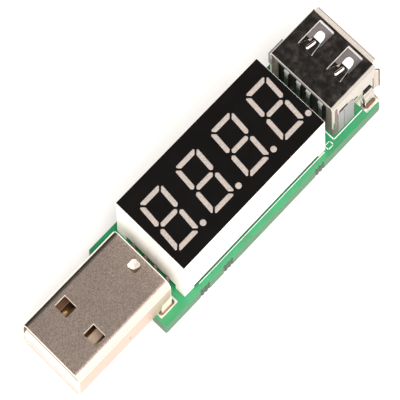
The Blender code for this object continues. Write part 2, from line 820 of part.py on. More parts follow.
def main():
    remove_existing_objects()
    steel = make_material("plug_steel", (0.55, 0.52, 0.49), 0.35, 1.0)
    nickel = make_material("socket_nickel", (0.62, 0.6, 0.57), 0.2, 1.0)
    gold = make_material("gold_contact", (0.95, 0.7, 0.32), 0.25, 1.0)
    tin = make_material("tinned_pin", (0.78, 0.77, 0.74), 0.35, 1.0)
    green = make_material("board_green", (0.03, 0.42, 0.18), 0.35)
    white = make_material("housing_white", (0.86, 0.85, 0.8), 0.45)
    black = make_material("face_black", (0.015, 0.015, 0.016), 0.4)
    pale = make_material("segment_pale", (0.62, 0.57, 0.53), 0.5)
    tongue_white = make_material("plug_white", (0.88, 0.87, 0.83), 0.45)
    moulding = make_material("socket_moulding", (0.03, 0.03, 0.03), 0.45)
    tan = make_material("inner_board", (0.45, 0.36, 0.2), 0.5)
    underside = {
        "chip": make_material("chip_black", (0.02, 0.02, 0.022), 0.5),
        "shunt": make_material("shunt_black", (0.025, 0.025, 0.03), 0.4),
        "capacitor": make_material("capacitor_tan", (0.45, 0.3, 0.17), 0.5),
        "resistor": make_material("resistor_black", (0.03, 0.03, 0.035), 0.4),
    }
    build_board(green)
    build_plug_shell(steel)
    build_plug_insulator(tongue_white)
    build_plug_contacts(gold)
    build_display_housing(white)
    build_display_face(black)
    build_display_epoxy(pale)
    pin_top = build_display_board(tan)
    build_display_pins(tin, pin_top)
    build_socket_shell(nickel)
    build_socket_insulator(moulding)
    build_socket_contacts(gold)
    build_contact_beams(gold)
    build_socket_springs(nickel)
    build_underside(underside)


main()
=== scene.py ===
"""Looks of the USB power meter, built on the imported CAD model.

Sizes are millimetres unless a name says otherwise; MM turns them into metres.
Frame: +X towards the socket, +Y left, +Z up. Places come from the boxes of the CAD nodes.
"""

import math
from collections import namedtuple

import bmesh
import bpy
from mathutils import Matrix, Vector


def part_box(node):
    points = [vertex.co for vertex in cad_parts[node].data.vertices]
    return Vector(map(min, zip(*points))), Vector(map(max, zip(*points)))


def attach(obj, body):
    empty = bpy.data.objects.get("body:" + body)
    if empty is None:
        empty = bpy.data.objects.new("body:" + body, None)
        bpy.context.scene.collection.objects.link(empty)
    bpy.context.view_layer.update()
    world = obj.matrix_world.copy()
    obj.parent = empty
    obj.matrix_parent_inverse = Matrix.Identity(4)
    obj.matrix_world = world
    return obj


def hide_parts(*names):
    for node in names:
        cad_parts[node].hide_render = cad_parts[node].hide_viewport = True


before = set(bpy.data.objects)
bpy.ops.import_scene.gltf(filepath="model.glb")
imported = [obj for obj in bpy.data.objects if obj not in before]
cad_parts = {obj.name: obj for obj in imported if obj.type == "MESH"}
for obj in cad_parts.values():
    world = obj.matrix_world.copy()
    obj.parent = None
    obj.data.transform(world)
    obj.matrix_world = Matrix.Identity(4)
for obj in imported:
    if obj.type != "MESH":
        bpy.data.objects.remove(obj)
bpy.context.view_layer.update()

MM = 0.001
SIDES = (("left", 1), ("right", -1))
EVEN = (1.0, 1.0, 1.0)
Node = namedtuple("Node", "name low high centre")


def node(name):
    """A CAD node's lowest and highest corner and centre, in millimetres."""
    low, high = (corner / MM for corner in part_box(name))
    return Node(name, low, high, (low + high) / 2)


def family(stem, count):
    return [node(f"{stem}_{number}") for number in range(1, count + 1)]


# Measures taken from the frame
BOARD = node("circuit_board")
BOARD_TOP = BOARD.high.z
BOARD_BOTTOM = BOARD.low.z
PLUG = node("plug_shell")
PLUG_Y = PLUG.centre.y
PLUG_WIDTH = PLUG.high.y - PLUG.low.y
PLUG_HEIGHT = 4.5
PLUG_BOTTOM = PLUG.high.z - PLUG_HEIGHT
PLUG_MIDDLE = (PLUG_Y, PLUG_BOTTOM + PLUG_HEIGHT / 2)
TIP_Z = PLUG.low.z
FACE = node("display_face")
HOUSING = node("display_housing")
SOCKET = node("socket_shell")
FLARE_RISE = 0.45
SOCKET_Y = SOCKET.centre.y
SOCKET_WIDTH = SOCKET.high.y - SOCKET.low.y - 2 * FLARE_RISE
SOCKET_TOP = SOCKET.high.z - FLARE_RISE
SOCKET_HEIGHT = 5.7
SOCKET_BOTTOM = SOCKET_TOP - SOCKET_HEIGHT
SOCKET_MID_Z = (SOCKET_TOP + SOCKET_BOTTOM) / 2
SOCKET_FRONT = SOCKET.high.x - 0.75
PLUG_CONTACTS = family("plug_contact", 4)
SOCKET_CONTACTS = family("socket_contact", 4)
PINS = family("display_pin", 12)

# Sheet, plug and socket details
WALL = 0.3
PLUG_CORNER = 1.0
PLUG_ROLL = 1.3                        # the rolled edges are this much wider than high
RIM = 0.18                             # the rolled rear end of the plug
SOCKET_CORNER = 0.6
WINDOW_SIZE = (2.15, 2.55)
WINDOW_X = PLUG.low.x + 6.0
WINDOW_Y = 2.98
DIMPLE_CENTRE = (PLUG.high.x - 1.85, PLUG_Y - 0.1)
DIMPLE_HALF = 0.9
DIMPLE_REACH = DIMPLE_HALF * 1.2
DIMPLE_DEPTH = 0.4
DIMPLE_DEEPEST = -0.25                 # offset of the deepest point from the centre, both ways
PLUG_LEG_X = -13.7
SOCKET_LEG_X = 29.15
LEG_WIDTH = 2.0
STRIP = 0.22                           # thickness of a contact

# Digits of the display
DIGIT_COUNT = 4
DIGIT_PITCH = 7.53
DIGIT_X = FACE.centre.x + 0.045
DIGIT_Y = -0.2
DIGIT_HALF_WIDTH = 2.0
DIGIT_ROW = 4.21
DIGIT_SLANT = 0.091
SEGMENT_HALF = 0.42
POINT_OFFSET = (2.95, -4.13)
POINT_RADIUS = 0.53


# Shapes

def rounded_rectangle(centre, size, radius, steps=8, stretch=1.0):
    """Outline of a rectangle with round corners, which stretch makes longer one way."""
    points = []
    for quarter, (sx, sy) in enumerate(((1, 1), (-1, 1), (-1, -1), (1, -1))):
        corner_x = centre[0] + sx * (size[0] / 2 - radius * stretch)
        corner_y = centre[1] + sy * (size[1] / 2 - radius)
        for step in range(steps + 1):
            angle = math.pi / 2 * (quarter + step / steps)
            x = corner_x + radius * stretch * math.cos(angle)
            points.append((x, corner_y + radius * math.sin(angle)))
    return points


def stadium(centre, size):
    return rounded_rectangle(centre, size, min(size) / 2 - 0.001)


def circle(centre, radius, count=24):
    angles = [2 * math.pi * i / count for i in range(count)]
    return [(centre[0] + radius * math.cos(a), centre[1] + radius * math.sin(a)) for a in angles]


def fillet(points, radius, steps=4, closed=True):
    """Round the corners of an outline, or of a path that is open at its ends."""
    rounded = []
    count = len(points)
    for i, point in enumerate(points):
        corner = Vector(point)
        if not closed and i in (0, count - 1):
            rounded.append(corner)
            continue
        before = Vector(points[i - 1]) - corner
        after = Vector(points[(i + 1) % count]) - corner
        reach = min(radius, before.length * 0.45, after.length * 0.45)
        start = corner + before.normalized() * reach
        end = corner + after.normalized() * reach
        for step in range(steps + 1):
            t = step / steps
            rounded.append(start * (1 - t) ** 2 + corner * 2 * t * (1 - t) + end * t * t)
    return rounded


def add_rings(shape, sections):
    """Rows of vertices, joined one to the next by faces."""
    rings = [[shape.verts.new(point) for point in section] for section in sections]
    for ring, following in zip(rings, rings[1:]):
        bridge(shape, ring, following)
    return rings


def bridge(shape, ring, following):
    count = len(ring)
    for i in range(count):
        j = (i + 1) % count
        shape.faces.new((ring[i], ring[j], following[j], following[i]))


def loft(shape, sections):
    """Join a row of point rings of equal length into one closed body."""
    rings = add_rings(shape, sections)
    shape.faces.new(rings[0])
    shape.faces.new(rings[-1])
    return shape


def tube(shape, outer_sections, inner_sections):
    """A hollow body between two rows of rings, open at both ends."""
    outer = add_rings(shape, outer_sections)
    inner = add_rings(shape, inner_sections)
    bridge(shape, outer[0], inner[0])
    bridge(shape, outer[-1], inner[-1])
    return shape


def prism_z(shape, outline, low, high):
    return loft(shape, [[(x, y, z) for x, y in outline] for z in (low, high)])


def prism_x(shape, outline, low, high):
    return loft(shape, [[(x, y, z) for y, z in outline] for x in (low, high)])


def prism_y(shape, outline, low, high):
    return loft(shape, [[(x, y, z) for x, z in outline] for y in (low, high)])


def block(shape, x_range, y_range, z_range):
    low, high = (Vector(corner) for corner in zip(x_range, y_range, z_range))
    matrix = Matrix.Translation((low + high) / 2) @ Matrix.Diagonal((*(high - low), 1.0))
    bmesh.ops.create_cube(shape, size=1.0, matrix=matrix)
    return shape


def middle(centre, size):
    return (centre - size / 2, centre + size / 2)


def ribbon(shape, path, halves, thickness, place):
    """A strip of sheet along a path of (along, height) points; its half width may vary."""
    if not isinstance(halves, list):
        halves = [halves] * len(path)
    sections = []
    last = len(path) - 1
    for i, (point, half) in enumerate(zip(path, halves)):
        way = (Vector(path[min(i + 1, last)]) - Vector(path[max(i - 1, 0)])).normalized()
        normal = Vector((-way.y, way.x)) * thickness / 2
        upper = Vector(point) + normal
        lower = Vector(point) - normal
        corners = ((upper, -half), (upper, half), (lower, half), (lower, -half))
        sections.append([place(corner.x, across, corner.y) for corner, across in corners])
    return loft(shape, sections)


def along_x(centre_y):
    """Placing function for a strip that runs along X."""
    return lambda along, across, height: (along, centre_y + across, height)


def turned(shape, centre, profile):
    """A body turned about a vertical axis; the profile is (radius, height) from end to end."""
    return loft(shape, [[(x, y, z) for x, y in circle(centre, radius, 20)] for radius, z in profile])


def ease(t):
    """Smooth step from 0 to 1."""
    t = min(max(t, 0.0), 1.0)
    return t * t * (3 - 2 * t)


# Pieces

def to_mesh(name, shape):
    bmesh.ops.recalc_face_normals(shape, faces=shape.faces)
    bmesh.ops.scale(shape, vec=(MM, MM, MM), verts=shape.verts)
    mesh = bpy.data.meshes.new(name)
    shape.to_mesh(mesh)
    shape.free()
    return mesh


def carve(thing, tool_shape, operation):
    """Cut or fuse a shape now, by the exact solver, so that no tool object is left."""
    tool = bpy.data.objects.new("tool", to_mesh("tool", tool_shape))
    bpy.context.collection.objects.link(tool)
    modifier = thing.modifiers.new("Carve", "BOOLEAN")
    modifier.operation = operation
    modifier.solver = "EXACT"
    modifier.object = tool
    bpy.context.view_layer.update()
    evaluated = thing.evaluated_get(bpy.context.evaluated_depsgraph_get())
    carved = bpy.data.meshes.new_from_object(evaluated)
    thing.modifiers.clear()
    thing.data = carved
    bpy.data.objects.remove(tool)


def merge_flat_faces(mesh):
    """Join neighbouring faces that lie in one plane, so that bevels and normals come out clean."""
    shape = bmesh.new()
    shape.from_mesh(mesh)
    bmesh.ops.dissolve_limit(
        shape, angle_limit=math.radians(0.5), use_dissolve_boundaries=False,
        verts=shape.verts, edges=shape.edges, delimit={"MATERIAL"},
    )
    shape.to_mesh(mesh)
    shape.free()


def soften(thing, width):
    """Round the sharp edges and shade the flat faces flat."""
    thing.data.shade_smooth()
    if width:
        bevel = thing.modifiers.new("Bevel", "BEVEL")
        bevel.width = width * MM
        bevel.segments = 2
        bevel.limit_method = "ANGLE"
        bevel.angle_limit = math.radians(35)
        bevel.miter_outer = "MITER_ARC"
    weighted = thing.modifiers.new("Normals", "WEIGHTED_NORMAL")
    weighted.mode = "FACE_AREA_WITH_ANGLE"
    weighted.weight = 80


def piece(name, shape, finishes, bevel=0.05, body="meter", joins=(), cuts=(), stands_for=None):
    """Make an object of the part, let it ride on its body and hide the node it stands for."""
    thing = bpy.data.objects.new(name, to_mesh(name, shape))
    bpy.context.collection.objects.link(thing)
    for tool in joins:
        carve(thing, tool, "UNION")
    for tool in cuts:
        carve(thing, tool, "DIFFERENCE")
    merge_flat_faces(thing.data)
    thing.data.name = name
    thing.data.materials.clear()
    for finish in finishes if isinstance(finishes, tuple) else (finishes,):
        thing.data.materials.append(finish)
    soften(thing, bevel)
    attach(thing, body)
    if stands_for:
        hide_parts(stands_for)
    return thing


def paint(thing, index, test):
    """Give another finish to the faces whose centre, in millimetres, and normal pass the test."""
    for face in thing.data.polygons:
        if test(face.center / MM, face.normal):
            face.material_index = index


# Finishes

class Nodes:
    """Helpers that add shader nodes to one tree."""

    def __init__(self, tree):
        self.tree = tree
        self.source = self.node("ShaderNodeTexCoord")

    def node(self, kind, inputs=None, **settings):
        made = self.tree.nodes.new(kind)
        for key, value in settings.items():
            setattr(made, key, value)
        for key, value in (inputs or {}).items():
            self.feed(made.inputs[key], value)
        return made

    def feed(self, socket, value):
        if isinstance(value, bpy.types.NodeSocket):
            self.tree.links.new(value, socket)
        else:
            socket.default_value = value

    def axis(self, output, letter):
        """One coordinate of one of the texture coordinates; places are in metres."""
        inputs = {"Vector": self.source.outputs[output]}
        return self.node("ShaderNodeSeparateXYZ", inputs).outputs[letter]

    def remap(self, value, source, target=(0, 1), **settings):
        inputs = {
            "Value": value, "From Min": source[0], "From Max": source[1],
            "To Min": target[0], "To Max": target[1],
        }
        return self.node("ShaderNodeMapRange", inputs, **settings).outputs[0]

    def calculate(self, operation, first, second=0.0):
        return self.node("ShaderNodeMath", {0: first, 1: second}, operation=operation).outputs[0]


class Finish(Nodes):
    """A node material; its texture coordinates are the object's own."""

    def __init__(self, name, colour, roughness, metallic=0.0):
        self.material = bpy.data.materials.new(name)
        self.material.use_nodes = True
        self.material.diffuse_color = (*colour, 1.0)
        super().__init__(self.material.node_tree)
        self.shader = self.tree.nodes["Principled BSDF"]
        self.set("Base Color", (*colour, 1.0))
        self.set("Roughness", roughness)
        self.set("Metallic", metallic)
        self.normal = None

    def set(self, name, value):
        self.feed(self.shader.inputs[name], value)

    def noise(self, per_mm, detail=2.0, stretch=EVEN):
        """Cloudy noise; per_mm is how many blobs a millimetre holds."""
        inputs = {"Vector": self.source.outputs["Object"], "Scale": [s / MM for s in stretch]}
        place = self.node("ShaderNodeMapping", inputs).outputs[0]
        inputs = {"Vector": place, "Scale": per_mm, "Detail": detail}
        return self.node("ShaderNodeTexNoise", inputs).outputs[0]

    def mix(self, factor, first, second):
        made = self.node("ShaderNodeMix", {0: factor}, data_type="RGBA")
        for socket, colour in ((made.inputs[6], first), (made.inputs[7], second)):
            self.feed(socket, colour if isinstance(colour, bpy.types.NodeSocket) else (*colour, 1.0))
        return made.outputs[2]

    def bump(self, height, depth):
        """Add relief; depth is in millimetres."""
        inputs = {"Height": height, "Distance": depth * MM, "Strength": 1.0}
        if self.normal:
            inputs["Normal"] = self.normal
        self.normal = self.node("ShaderNodeBump", inputs).outputs[0]
        self.set("Normal", self.normal)

    def level(self, low, high):
        """0 where the face stands steeper than low, 1 where it lies flatter than high."""
        return self.remap(self.calculate("ABSOLUTE", self.axis("Normal", "Z")), (low, high))

    def along(self, letter, start, end):
        """0 to 1 between two places on an axis, in millimetres."""
        return self.remap(self.axis("Object", letter), (start * MM, end * MM))


def mottled(name, colours, rough, metallic=0.0, tone=(4.0, 3.0), grain=None, spread=(0, 1),
            depth=0.004, gloss=0.5):
    """Tone follows one noise; gloss and relief follow another, or the same one."""
    finish = Finish(name, colours[0], rough[0], metallic)
    finish.set("Specular IOR Level", gloss)
    cloud = finish.noise(*tone)
    fine = finish.noise(*grain) if grain else cloud
    finish.set("Base Color", finish.mix(finish.remap(cloud, spread), *colours))
    finish.set("Roughness", finish.remap(fine, (0.3, 0.7), rough))
    finish.bump(fine, depth)
    return finish.material


def plastic(name, colour, darker, roughness, depth=0.006, gloss=0.5):
    """Moulded plastic with a fine grain and slow changes of tone."""
    rough = (roughness - 0.06, roughness + 0.08)
    return mottled(name, (colour, darker), rough, 0.0, (0.3, 3.0), (6.0, 3.0), (0.35, 0.7), depth, gloss)


def metal(name, colour, darker, roughness, metallic=1.0, depth=0.004, per_mm=4.0):
    """Plain or dirty metal with a cloudy tone and an uneven gloss; several uses below are painted shade or
    painted highlights.
    """
    rough = (roughness - 0.06, roughness + 0.08)
    return mottled(name, (colour, darker), rough, metallic, (per_mm, 3.0), None, (0.35, 0.65), depth)


def solder_tin(name):
    return mottled(name, ((0.74, 0.72, 0.69), (0.9, 0.88, 0.85)), (0.3, 0.45), 0.9, (1.8, 3.0), depth=0.01)


def ceramic(name, colour, darker):
    return mottled(name, (colour, darker), (0.42, 0.62), 0.0, (9.0, 3.0), depth=0.008)


def plug_steel():
    """Satin steel: a grain like orange peel on top and underneath, smoother on the rolled sides; the
    upright sides are painted pinker and darker and the rolled edges paler, as a painted reflection.
    """
    finish = Finish("plug_steel", (0.86, 0.70, 0.60), 0.36, 1.0)
    flat = finish.level(0.93, 0.995)
    rolled = finish.level(0.15, 0.5)
    grain = finish.noise(7.0)
    drift = finish.noise(0.25)
    pale = finish.mix(finish.remap(drift, (0.35, 0.65)), (1.0, 0.83, 0.72), (0.95, 0.775, 0.665))
    speckled = finish.mix(finish.remap(grain, (0.34, 0.64)), (0.57, 0.44, 0.375), pale)
    # painted reflection: upright sides pinker and darker, rolled edges paler
    pink = finish.mix(drift, (0.74, 0.58, 0.50), (0.69, 0.53, 0.46))
    side = finish.mix(rolled, pink, (0.90, 0.82, 0.73))
    finish.set("Base Color", finish.mix(flat, side, speckled))
    side_gloss = finish.mix(rolled, (0.5, 0.5, 0.5), (0.13, 0.13, 0.13))
    finish.set("Roughness", finish.mix(flat, side_gloss, (0.4, 0.4, 0.4)))
    finish.bump(finish.calculate("MULTIPLY", grain, flat), 0.012)
    finish.bump(finish.noise(2.0, 2.0, (0.2, 1.0, 1.0)), 0.002)
    return finish.material


def socket_nickel():
    """Bright nickel, smudged where it lies flat."""
    finish = Finish("socket_nickel", (0.62, 0.58, 0.54), 0.16, 1.0)
    smudge = finish.noise(0.8, 4.0)
    top = finish.mix(finish.remap(smudge, (0.38, 0.64)), (0.50, 0.44, 0.42), (0.78, 0.69, 0.65))
    side = finish.mix(smudge, (0.66, 0.61, 0.56), (0.61, 0.56, 0.51))
    finish.set("Base Color", finish.mix(finish.level(0.9, 0.99), side, top))
    finish.set("Roughness", finish.remap(smudge, (0.35, 0.7), (0.12, 0.24)))
    finish.bump(finish.noise(1.5, 3.0, (0.12, 1.0, 1.0)), 0.002)
    finish.bump(finish.noise(7.0), 0.0012)
    return finish.material


def tin_with_painted_shadow():
    """Tails of the socket contacts: bright where they leave the moulding, darker below as a painted
    shadow.
    """
    bright = (0.6, 0.59, 0.57)
    finish = Finish("socket_tail_tin_painted_shadow", bright, 0.4, 0.3)
    cloud = finish.noise(2.0, 3.0)
    # painted shadow: the lower part of each tail is drawn near black
    dark = finish.mix(cloud, (0.03, 0.033, 0.03), (0.07, 0.072, 0.065))
    height = finish.along("Z", BOARD_TOP + 3.3, BOARD_TOP + 4.3)
    finish.set("Base Color", finish.mix(height, dark, bright))
    finish.bump(cloud, 0.006)
    return finish.material


def tongue_painted_shade():
    """The plug's tongue: pale at the mouth, brown with painted shade further in and to the left."""
    finish = Finish("tongue_painted_shade", (0.42, 0.3, 0.21), 0.45)
    # painted shade: darker deeper into the hollow and towards the left
    depth = finish.along("X", PLUG.low.x + 1.2, PLUG.low.x + 4.0)
    left = finish.along("Y", PLUG_Y + 0.5, PLUG_Y + 2.5)
    light = finish.mix(finish.noise(1.2, 3.0), (0.50, 0.36, 0.27), (0.66, 0.51, 0.39))
    brown = finish.mix(left, light, (0.17, 0.085, 0.045))
    finish.set("Base Color", finish.mix(depth, (0.86, 0.83, 0.76), brown))
    finish.bump(finish.noise(5.0), 0.006)
    return finish.material


def board_finish():
    """Green solder mask on the faces; bare glass fibre on the cut edges."""
    finish = Finish("board_green", (0.02, 0.42, 0.14), 0.3)
    drift = finish.remap(finish.noise(0.35, 3.0), (0.35, 0.65))
    mask = finish.mix(drift, (0.020, 0.275, 0.105), (0.040, 0.225, 0.10))
    strands = finish.noise(2.5, 3.0, (0.3, 0.3, 2.0))
    fibre = finish.mix(strands, (0.045, 0.155, 0.08), (0.135, 0.22, 0.145))
    flat = finish.level(0.5, 0.8)
    finish.set("Base Color", finish.mix(flat, fibre, mask))
    finish.set("Roughness", finish.remap(flat, (0, 1), (0.75, 0.3)))
    finish.bump(finish.noise(3.0, 2.0, (1.0, 0.25, 1.0)), 0.006)
    return finish.material


# Board

def hole_places():
    """Centre and size of every slot, and centre of every round hole, from the parts in them."""
    slots = [((PLUG_LEG_X, PLUG_Y + s * (PLUG_WIDTH / 2 - WALL / 2)), (2.95, 1.0)) for s in (-1, 1)]
    slots += [((SOCKET_LEG_X, SOCKET_Y + s * (SOCKET_WIDTH / 2 + 0.25)), (2.4, 1.0)) for s in (-1, 1)]
    tails = []
    for plug, socket in zip(PLUG_CONTACTS, SOCKET_CONTACTS):
        tails += [(plug.high.x - 0.15, plug.centre.y), (socket.low.x + 0.125, socket.centre.y)]
    return slots, tails, [(pin.centre.x, pin.centre.y) for pin in PINS]


SLOTS, TAIL_HOLES, PIN_HOLES = hole_places()
CHIPS = [node(name) for name in ("microcontroller", "voltage_regulator", "sense_amplifier")]
CAPPED = [node("current_shunt")] + family("capacitor", 3) + family("resistor", 8)
HOLE_RADIUS = 0.45
TAB_PLACES = (-7.65, -2.75, 16.9)
PAD_THICKNESS = 0.045
PAD_LEVELS = (
    ("top", BOARD_TOP - 0.01, BOARD_TOP + PAD_THICKNESS),
    ("bottom", BOARD_BOTTOM - PAD_THICKNESS, BOARD_BOTTOM + 0.01),
)
PRINT_LEVELS = (BOARD_TOP - 0.01, BOARD_TOP + 0.02)
UNDER_PRINT_LEVELS = (BOARD_BOTTOM - 0.02, BOARD_BOTTOM + 0.01)
SOCKET_PRINT_X = (27.45, 21.35)        # the printed bracket round the socket
SOCKET_PRINT_Y = 6.8
MARK_X = (19.65, 20.75)                # the small printed frames beside it
MARK_Y = (6.55, 7.35)
VIA_PLACES = ((-1.9, 3.4), (0.8, -3.6), (11.2, 3.0), (13.2, -2.8), (-8.6, 2.4), (-4.1, -3.1), (16.2, -1.2))


def near_tab(centre, normal):
    """Rough edge faces left where the board was broken out of its panel."""
    at_edge = abs(centre.y) > BOARD.high.y - 0.3
    return abs(normal.z) < 0.5 and at_edge and any(abs(centre.x - x) < 1.35 for x in TAB_PLACES)


def build_board(finish, scar):
    outline = rounded_rectangle(BOARD.centre, BOARD.high - BOARD.low, 0.25, 4)
    depth = (BOARD_BOTTOM - 1.0, BOARD_TOP + 1.0)
    holes = bmesh.new()
    for place, size in SLOTS:
        prism_z(holes, stadium(place, size), *depth)
    for place in TAIL_HOLES + PIN_HOLES:
        prism_z(holes, circle(place, HOLE_RADIUS), *depth)
    bites = bmesh.new()
    for tab_x in TAB_PLACES:
        for edge in (BOARD.low.y, BOARD.high.y):
            for step in (-1, 0, 1):
                bite = (tab_x + 0.75 * step, edge + math.copysign(0.17, edge))
                prism_z(bites, circle(bite, 0.28, 16), *depth)
    shape = prism_z(bmesh.new(), outline, BOARD_BOTTOM, BOARD_TOP)
    thing = piece("board_panel", shape, (finish, scar), 0.04,
                  cuts=(holes, bites), stands_for=BOARD.name)
    paint(thing, 1, near_tab)


def ring_plate(shape, outer, inner, low, high):
    """A flat ring between two outlines with the same number of points."""
    rings = [[[(x, y, z) for x, y in outline] for z in (low, high)] for outline in (outer, inner)]
    tube(shape, *rings)


def build_pads(finish):
    for level, low, high in PAD_LEVELS:
        shape = bmesh.new()
        for place, (length, width) in SLOTS:
            grow = 0.75 if place[0] > 0 else 0.4
            outer = rounded_rectangle(place, (length + 0.5, width + grow), 0.15)
            inner = rounded_rectangle(place, (length - 0.02, width - 0.02), width / 2 - 0.03)
            ring_plate(shape, outer, inner, low, high)
        for place in TAIL_HOLES + PIN_HOLES:
            ring_plate(shape, circle(place, 0.85), circle(place, HOLE_RADIUS - 0.01), low, high)
        piece(f"board_pads_{level}", shape, finish, 0.0)


def line(shape, start, end, width, low, high):
    """A straight flat line with square ends."""
    start = Vector(start)
    end = Vector(end)
    way = (end - start).normalized() * width / 2
    side = Vector((-way.y, way.x))
    outline = [start - way + side, start - way - side, end + way - side, end + way + side]
    prism_z(shape, outline, low, high)


def frame_lines(shape, x_range, y_range, width, low, high):
    """Four lines round a rectangle."""
    (x, far_x), (y, far_y) = x_range, y_range
    corners = [(x, y), (far_x, y), (far_x, far_y), (x, far_y)]
    for start, end in zip(corners, corners[1:] + corners[:1]):
        line(shape, start, end, width, low, high)


def build_print_top(finish):
    shape = bmesh.new()
    ends = [(SOCKET_PRINT_X[1], SOCKET_Y + side * SOCKET_PRINT_Y) for side in (-1, 1)]
    for side, end in zip((-1, 1), ends):
        edge = side * (HOUSING.high.y + 0.15)
        line(shape, (HOUSING.low.x + 2.9, edge), (HOUSING.high.x - 0.4, edge), 0.09, *PRINT_LEVELS)
        line(shape, (SOCKET_PRINT_X[0], end[1]), end, 0.13, *PRINT_LEVELS)
        frame_lines(shape, MARK_X, sorted(side * y for y in MARK_Y), 0.12, *PRINT_LEVELS)
    line(shape, *ends, 0.16, *PRINT_LEVELS)
    piece("board_print_top", shape, finish, bevel=0.0)


def build_print_bottom(finish):
    """A frame round every component, and a dot at the first lead of the two larger chips."""
    shape = bmesh.new()
    margin = Vector((0.3, 0.3, 0.0))
    for part in CHIPS + CAPPED:
        low = part.low - margin
        high = part.high + margin
        frame_lines(shape, (low.x, high.x), (low.y, high.y), 0.12, *UNDER_PRINT_LEVELS)
        if part.name in ("microcontroller", "sense_amplifier"):
            prism_z(shape, circle((low.x - 0.45, low.y + 0.2), 0.18, 16), *UNDER_PRINT_LEVELS)
    piece("board_print_bottom", shape, finish, bevel=0.0)


def trace(shape, points, width, low, high):
    """Every second leg lies a hair lower, so that no two faces coincide where they meet."""
    for i, (start, end) in enumerate(zip(points, points[1:])):
        line(shape, start, end, width, low - 0.005 * (i % 2), high)


def build_traces(finish):
    """Copper runs under the mask: chip leads fan out to the display pins, and power runs along."""
    levels = (BOARD_BOTTOM - 0.035, BOARD_BOTTOM + 0.01)
    shape = bmesh.new()
    chip = CHIPS[0]
    for number, (pin_x, pin_y) in enumerate(PIN_HOLES):
        side = math.copysign(1, pin_y)
        lead_x = chip.centre.x + (number % 6 - 2.5) * 0.65
        lead_y = side * (chip.high.y - 0.3)
        start_turn = lead_y + side * 0.35
        end_turn = min(abs(start_turn) + abs(pin_x - lead_x), abs(pin_y) - 0.1) * side
        run = [(lead_x, lead_y), (lead_x, start_turn), (pin_x, end_turn), (pin_x, pin_y)]
        trace(shape, run, 0.22, *levels)
    tails = sorted(TAIL_HOLES)
    for start, end in ((tails[0], tails[4]), (tails[3], tails[7])):
        turn = math.copysign(6.35, start[1])
        run = [start, (start[0] + 2.6, turn), (15.2, turn), (17.0, turn * 0.6), end]
        trace(shape, run, 1.5, *levels)
    piece("board_traces_bottom", shape, finish, bevel=0.0)


def build_solder_joints(finish, dull):
    """A cone of solder round each lead on the underside and a low collar on top."""
    below = BOARD_BOTTOM + 0.01
    above = BOARD_TOP - 0.01
    under = bmesh.new()
    for number, place in enumerate(TAIL_HOLES + PIN_HOLES):
        tall = 0.75 + 0.06 * math.sin(number * 2.4)
        cone = [(0.82, 0.0), (0.66, 0.14), (0.48, 0.34), (0.36, tall * 0.8), (0.22, tall)]
        turned(under, place, [(radius, below - z) for radius, z in cone])
    for place, (length, width) in SLOTS:
        rings = []
        for grow, z in ((0.25, 0.0), (-0.05, 0.25), (-0.35, 0.6), (-0.55, 0.95)):
            ring = rounded_rectangle(place, (length + grow, width + grow), 0.2)
            rings.append([(x, y, below - z) for x, y in ring])
        loft(under, rings)
    over = bmesh.new()
    for place in TAIL_HOLES:
        collar = ((0.7, 0.0), (0.58, 0.1), (0.42, 0.2), (0.28, 0.3))
        turned(over, place, [(radius, above + z) for radius, z in collar])
    # dark blobs behind the plug: their dark finish is painted shade standing in for tin in the gap
    blobs = bmesh.new()
    for contact in PLUG_CONTACTS:
        blob = ((0.42, 0.0), (0.4, 0.4), (0.36, 0.9), (0.27, 1.3), (0.1, 1.55))
        place = (PLUG.high.x + 1.6, contact.centre.y)
        turned(blobs, place, [(radius, above + z) for radius, z in blob])
    piece("solder_joints_bottom", under, finish, bevel=0.0)
    piece("solder_joints_top", over, finish, bevel=0.0)
    piece("contact_solder", blobs, dull, bevel=0.0)


def build_slot_solder(finish):
    """Low, sunken fill in the slots round the legs."""
    shape = bmesh.new()
    for place, (length, width) in SLOTS:
        outline = stadium(place, (length - 0.06, width - 0.06))
        prism_z(shape, outline, BOARD_TOP - 0.5, BOARD_TOP - 0.12)
    piece("slot_solder", shape, finish, bevel=0.04)


def build_vias(finish):
    shape = bmesh.new()
    for place in VIA_PLACES:
        for _, low, high in PAD_LEVELS:
            ring_plate(shape, circle(place, 0.34, 16), circle(place, 0.15, 16), low, high)
    piece("board_vias", shape, finish, bevel=0.0)


# Plug

def dimple_slope(offset):
    """0 at the dimple's rim, 1 at its deepest line, with a long straight ramp on the far side."""
    if offset < DIMPLE_DEEPEST:
        return (offset + DIMPLE_HALF) / (DIMPLE_HALF + DIMPLE_DEEPEST)
    return (DIMPLE_HALF - offset) / (DIMPLE_HALF - DIMPLE_DEEPEST)


def dimple_dip(x, y):
    """Depth of the staking mark: a lopsided bowl with a round near side and a square far side."""
    along = x - DIMPLE_CENTRE[0]
    across = y - DIMPLE_CENTRE[1]
    rim = (DIMPLE_HALF * 1.12 - math.hypot(along, across)) / (DIMPLE_HALF * 0.45)
    return DIMPLE_DEPTH * max(0.0, min(dimple_slope(along), dimple_slope(across), rim))


def plug_outline(inset):
    size = (PLUG_WIDTH - 2 * inset, PLUG_HEIGHT - 2 * inset)
    return rounded_rectangle(PLUG_MIDDLE, size, PLUG_CORNER - inset, 10, PLUG_ROLL)


def dimple_steps(centre, way):
    """Closely spaced places across the dimple."""
    return [centre + way * DIMPLE_REACH * (2 * i / 30 - 1) for i in range(31)]


def plug_ring(x, inset):
    """The tube's outline at one station, with closely spaced points over the dimple."""
    top = PLUG_MIDDLE[1] + PLUG_HEIGHT / 2 - inset
    outline = plug_outline(inset)
    outline[11:11] = [(y, top) for y in dimple_steps(DIMPLE_CENTRE[1], -1)]
    return [(x, y, z - (dimple_dip(x, y) if z > top - 0.001 else 0.0)) for y, z in outline]


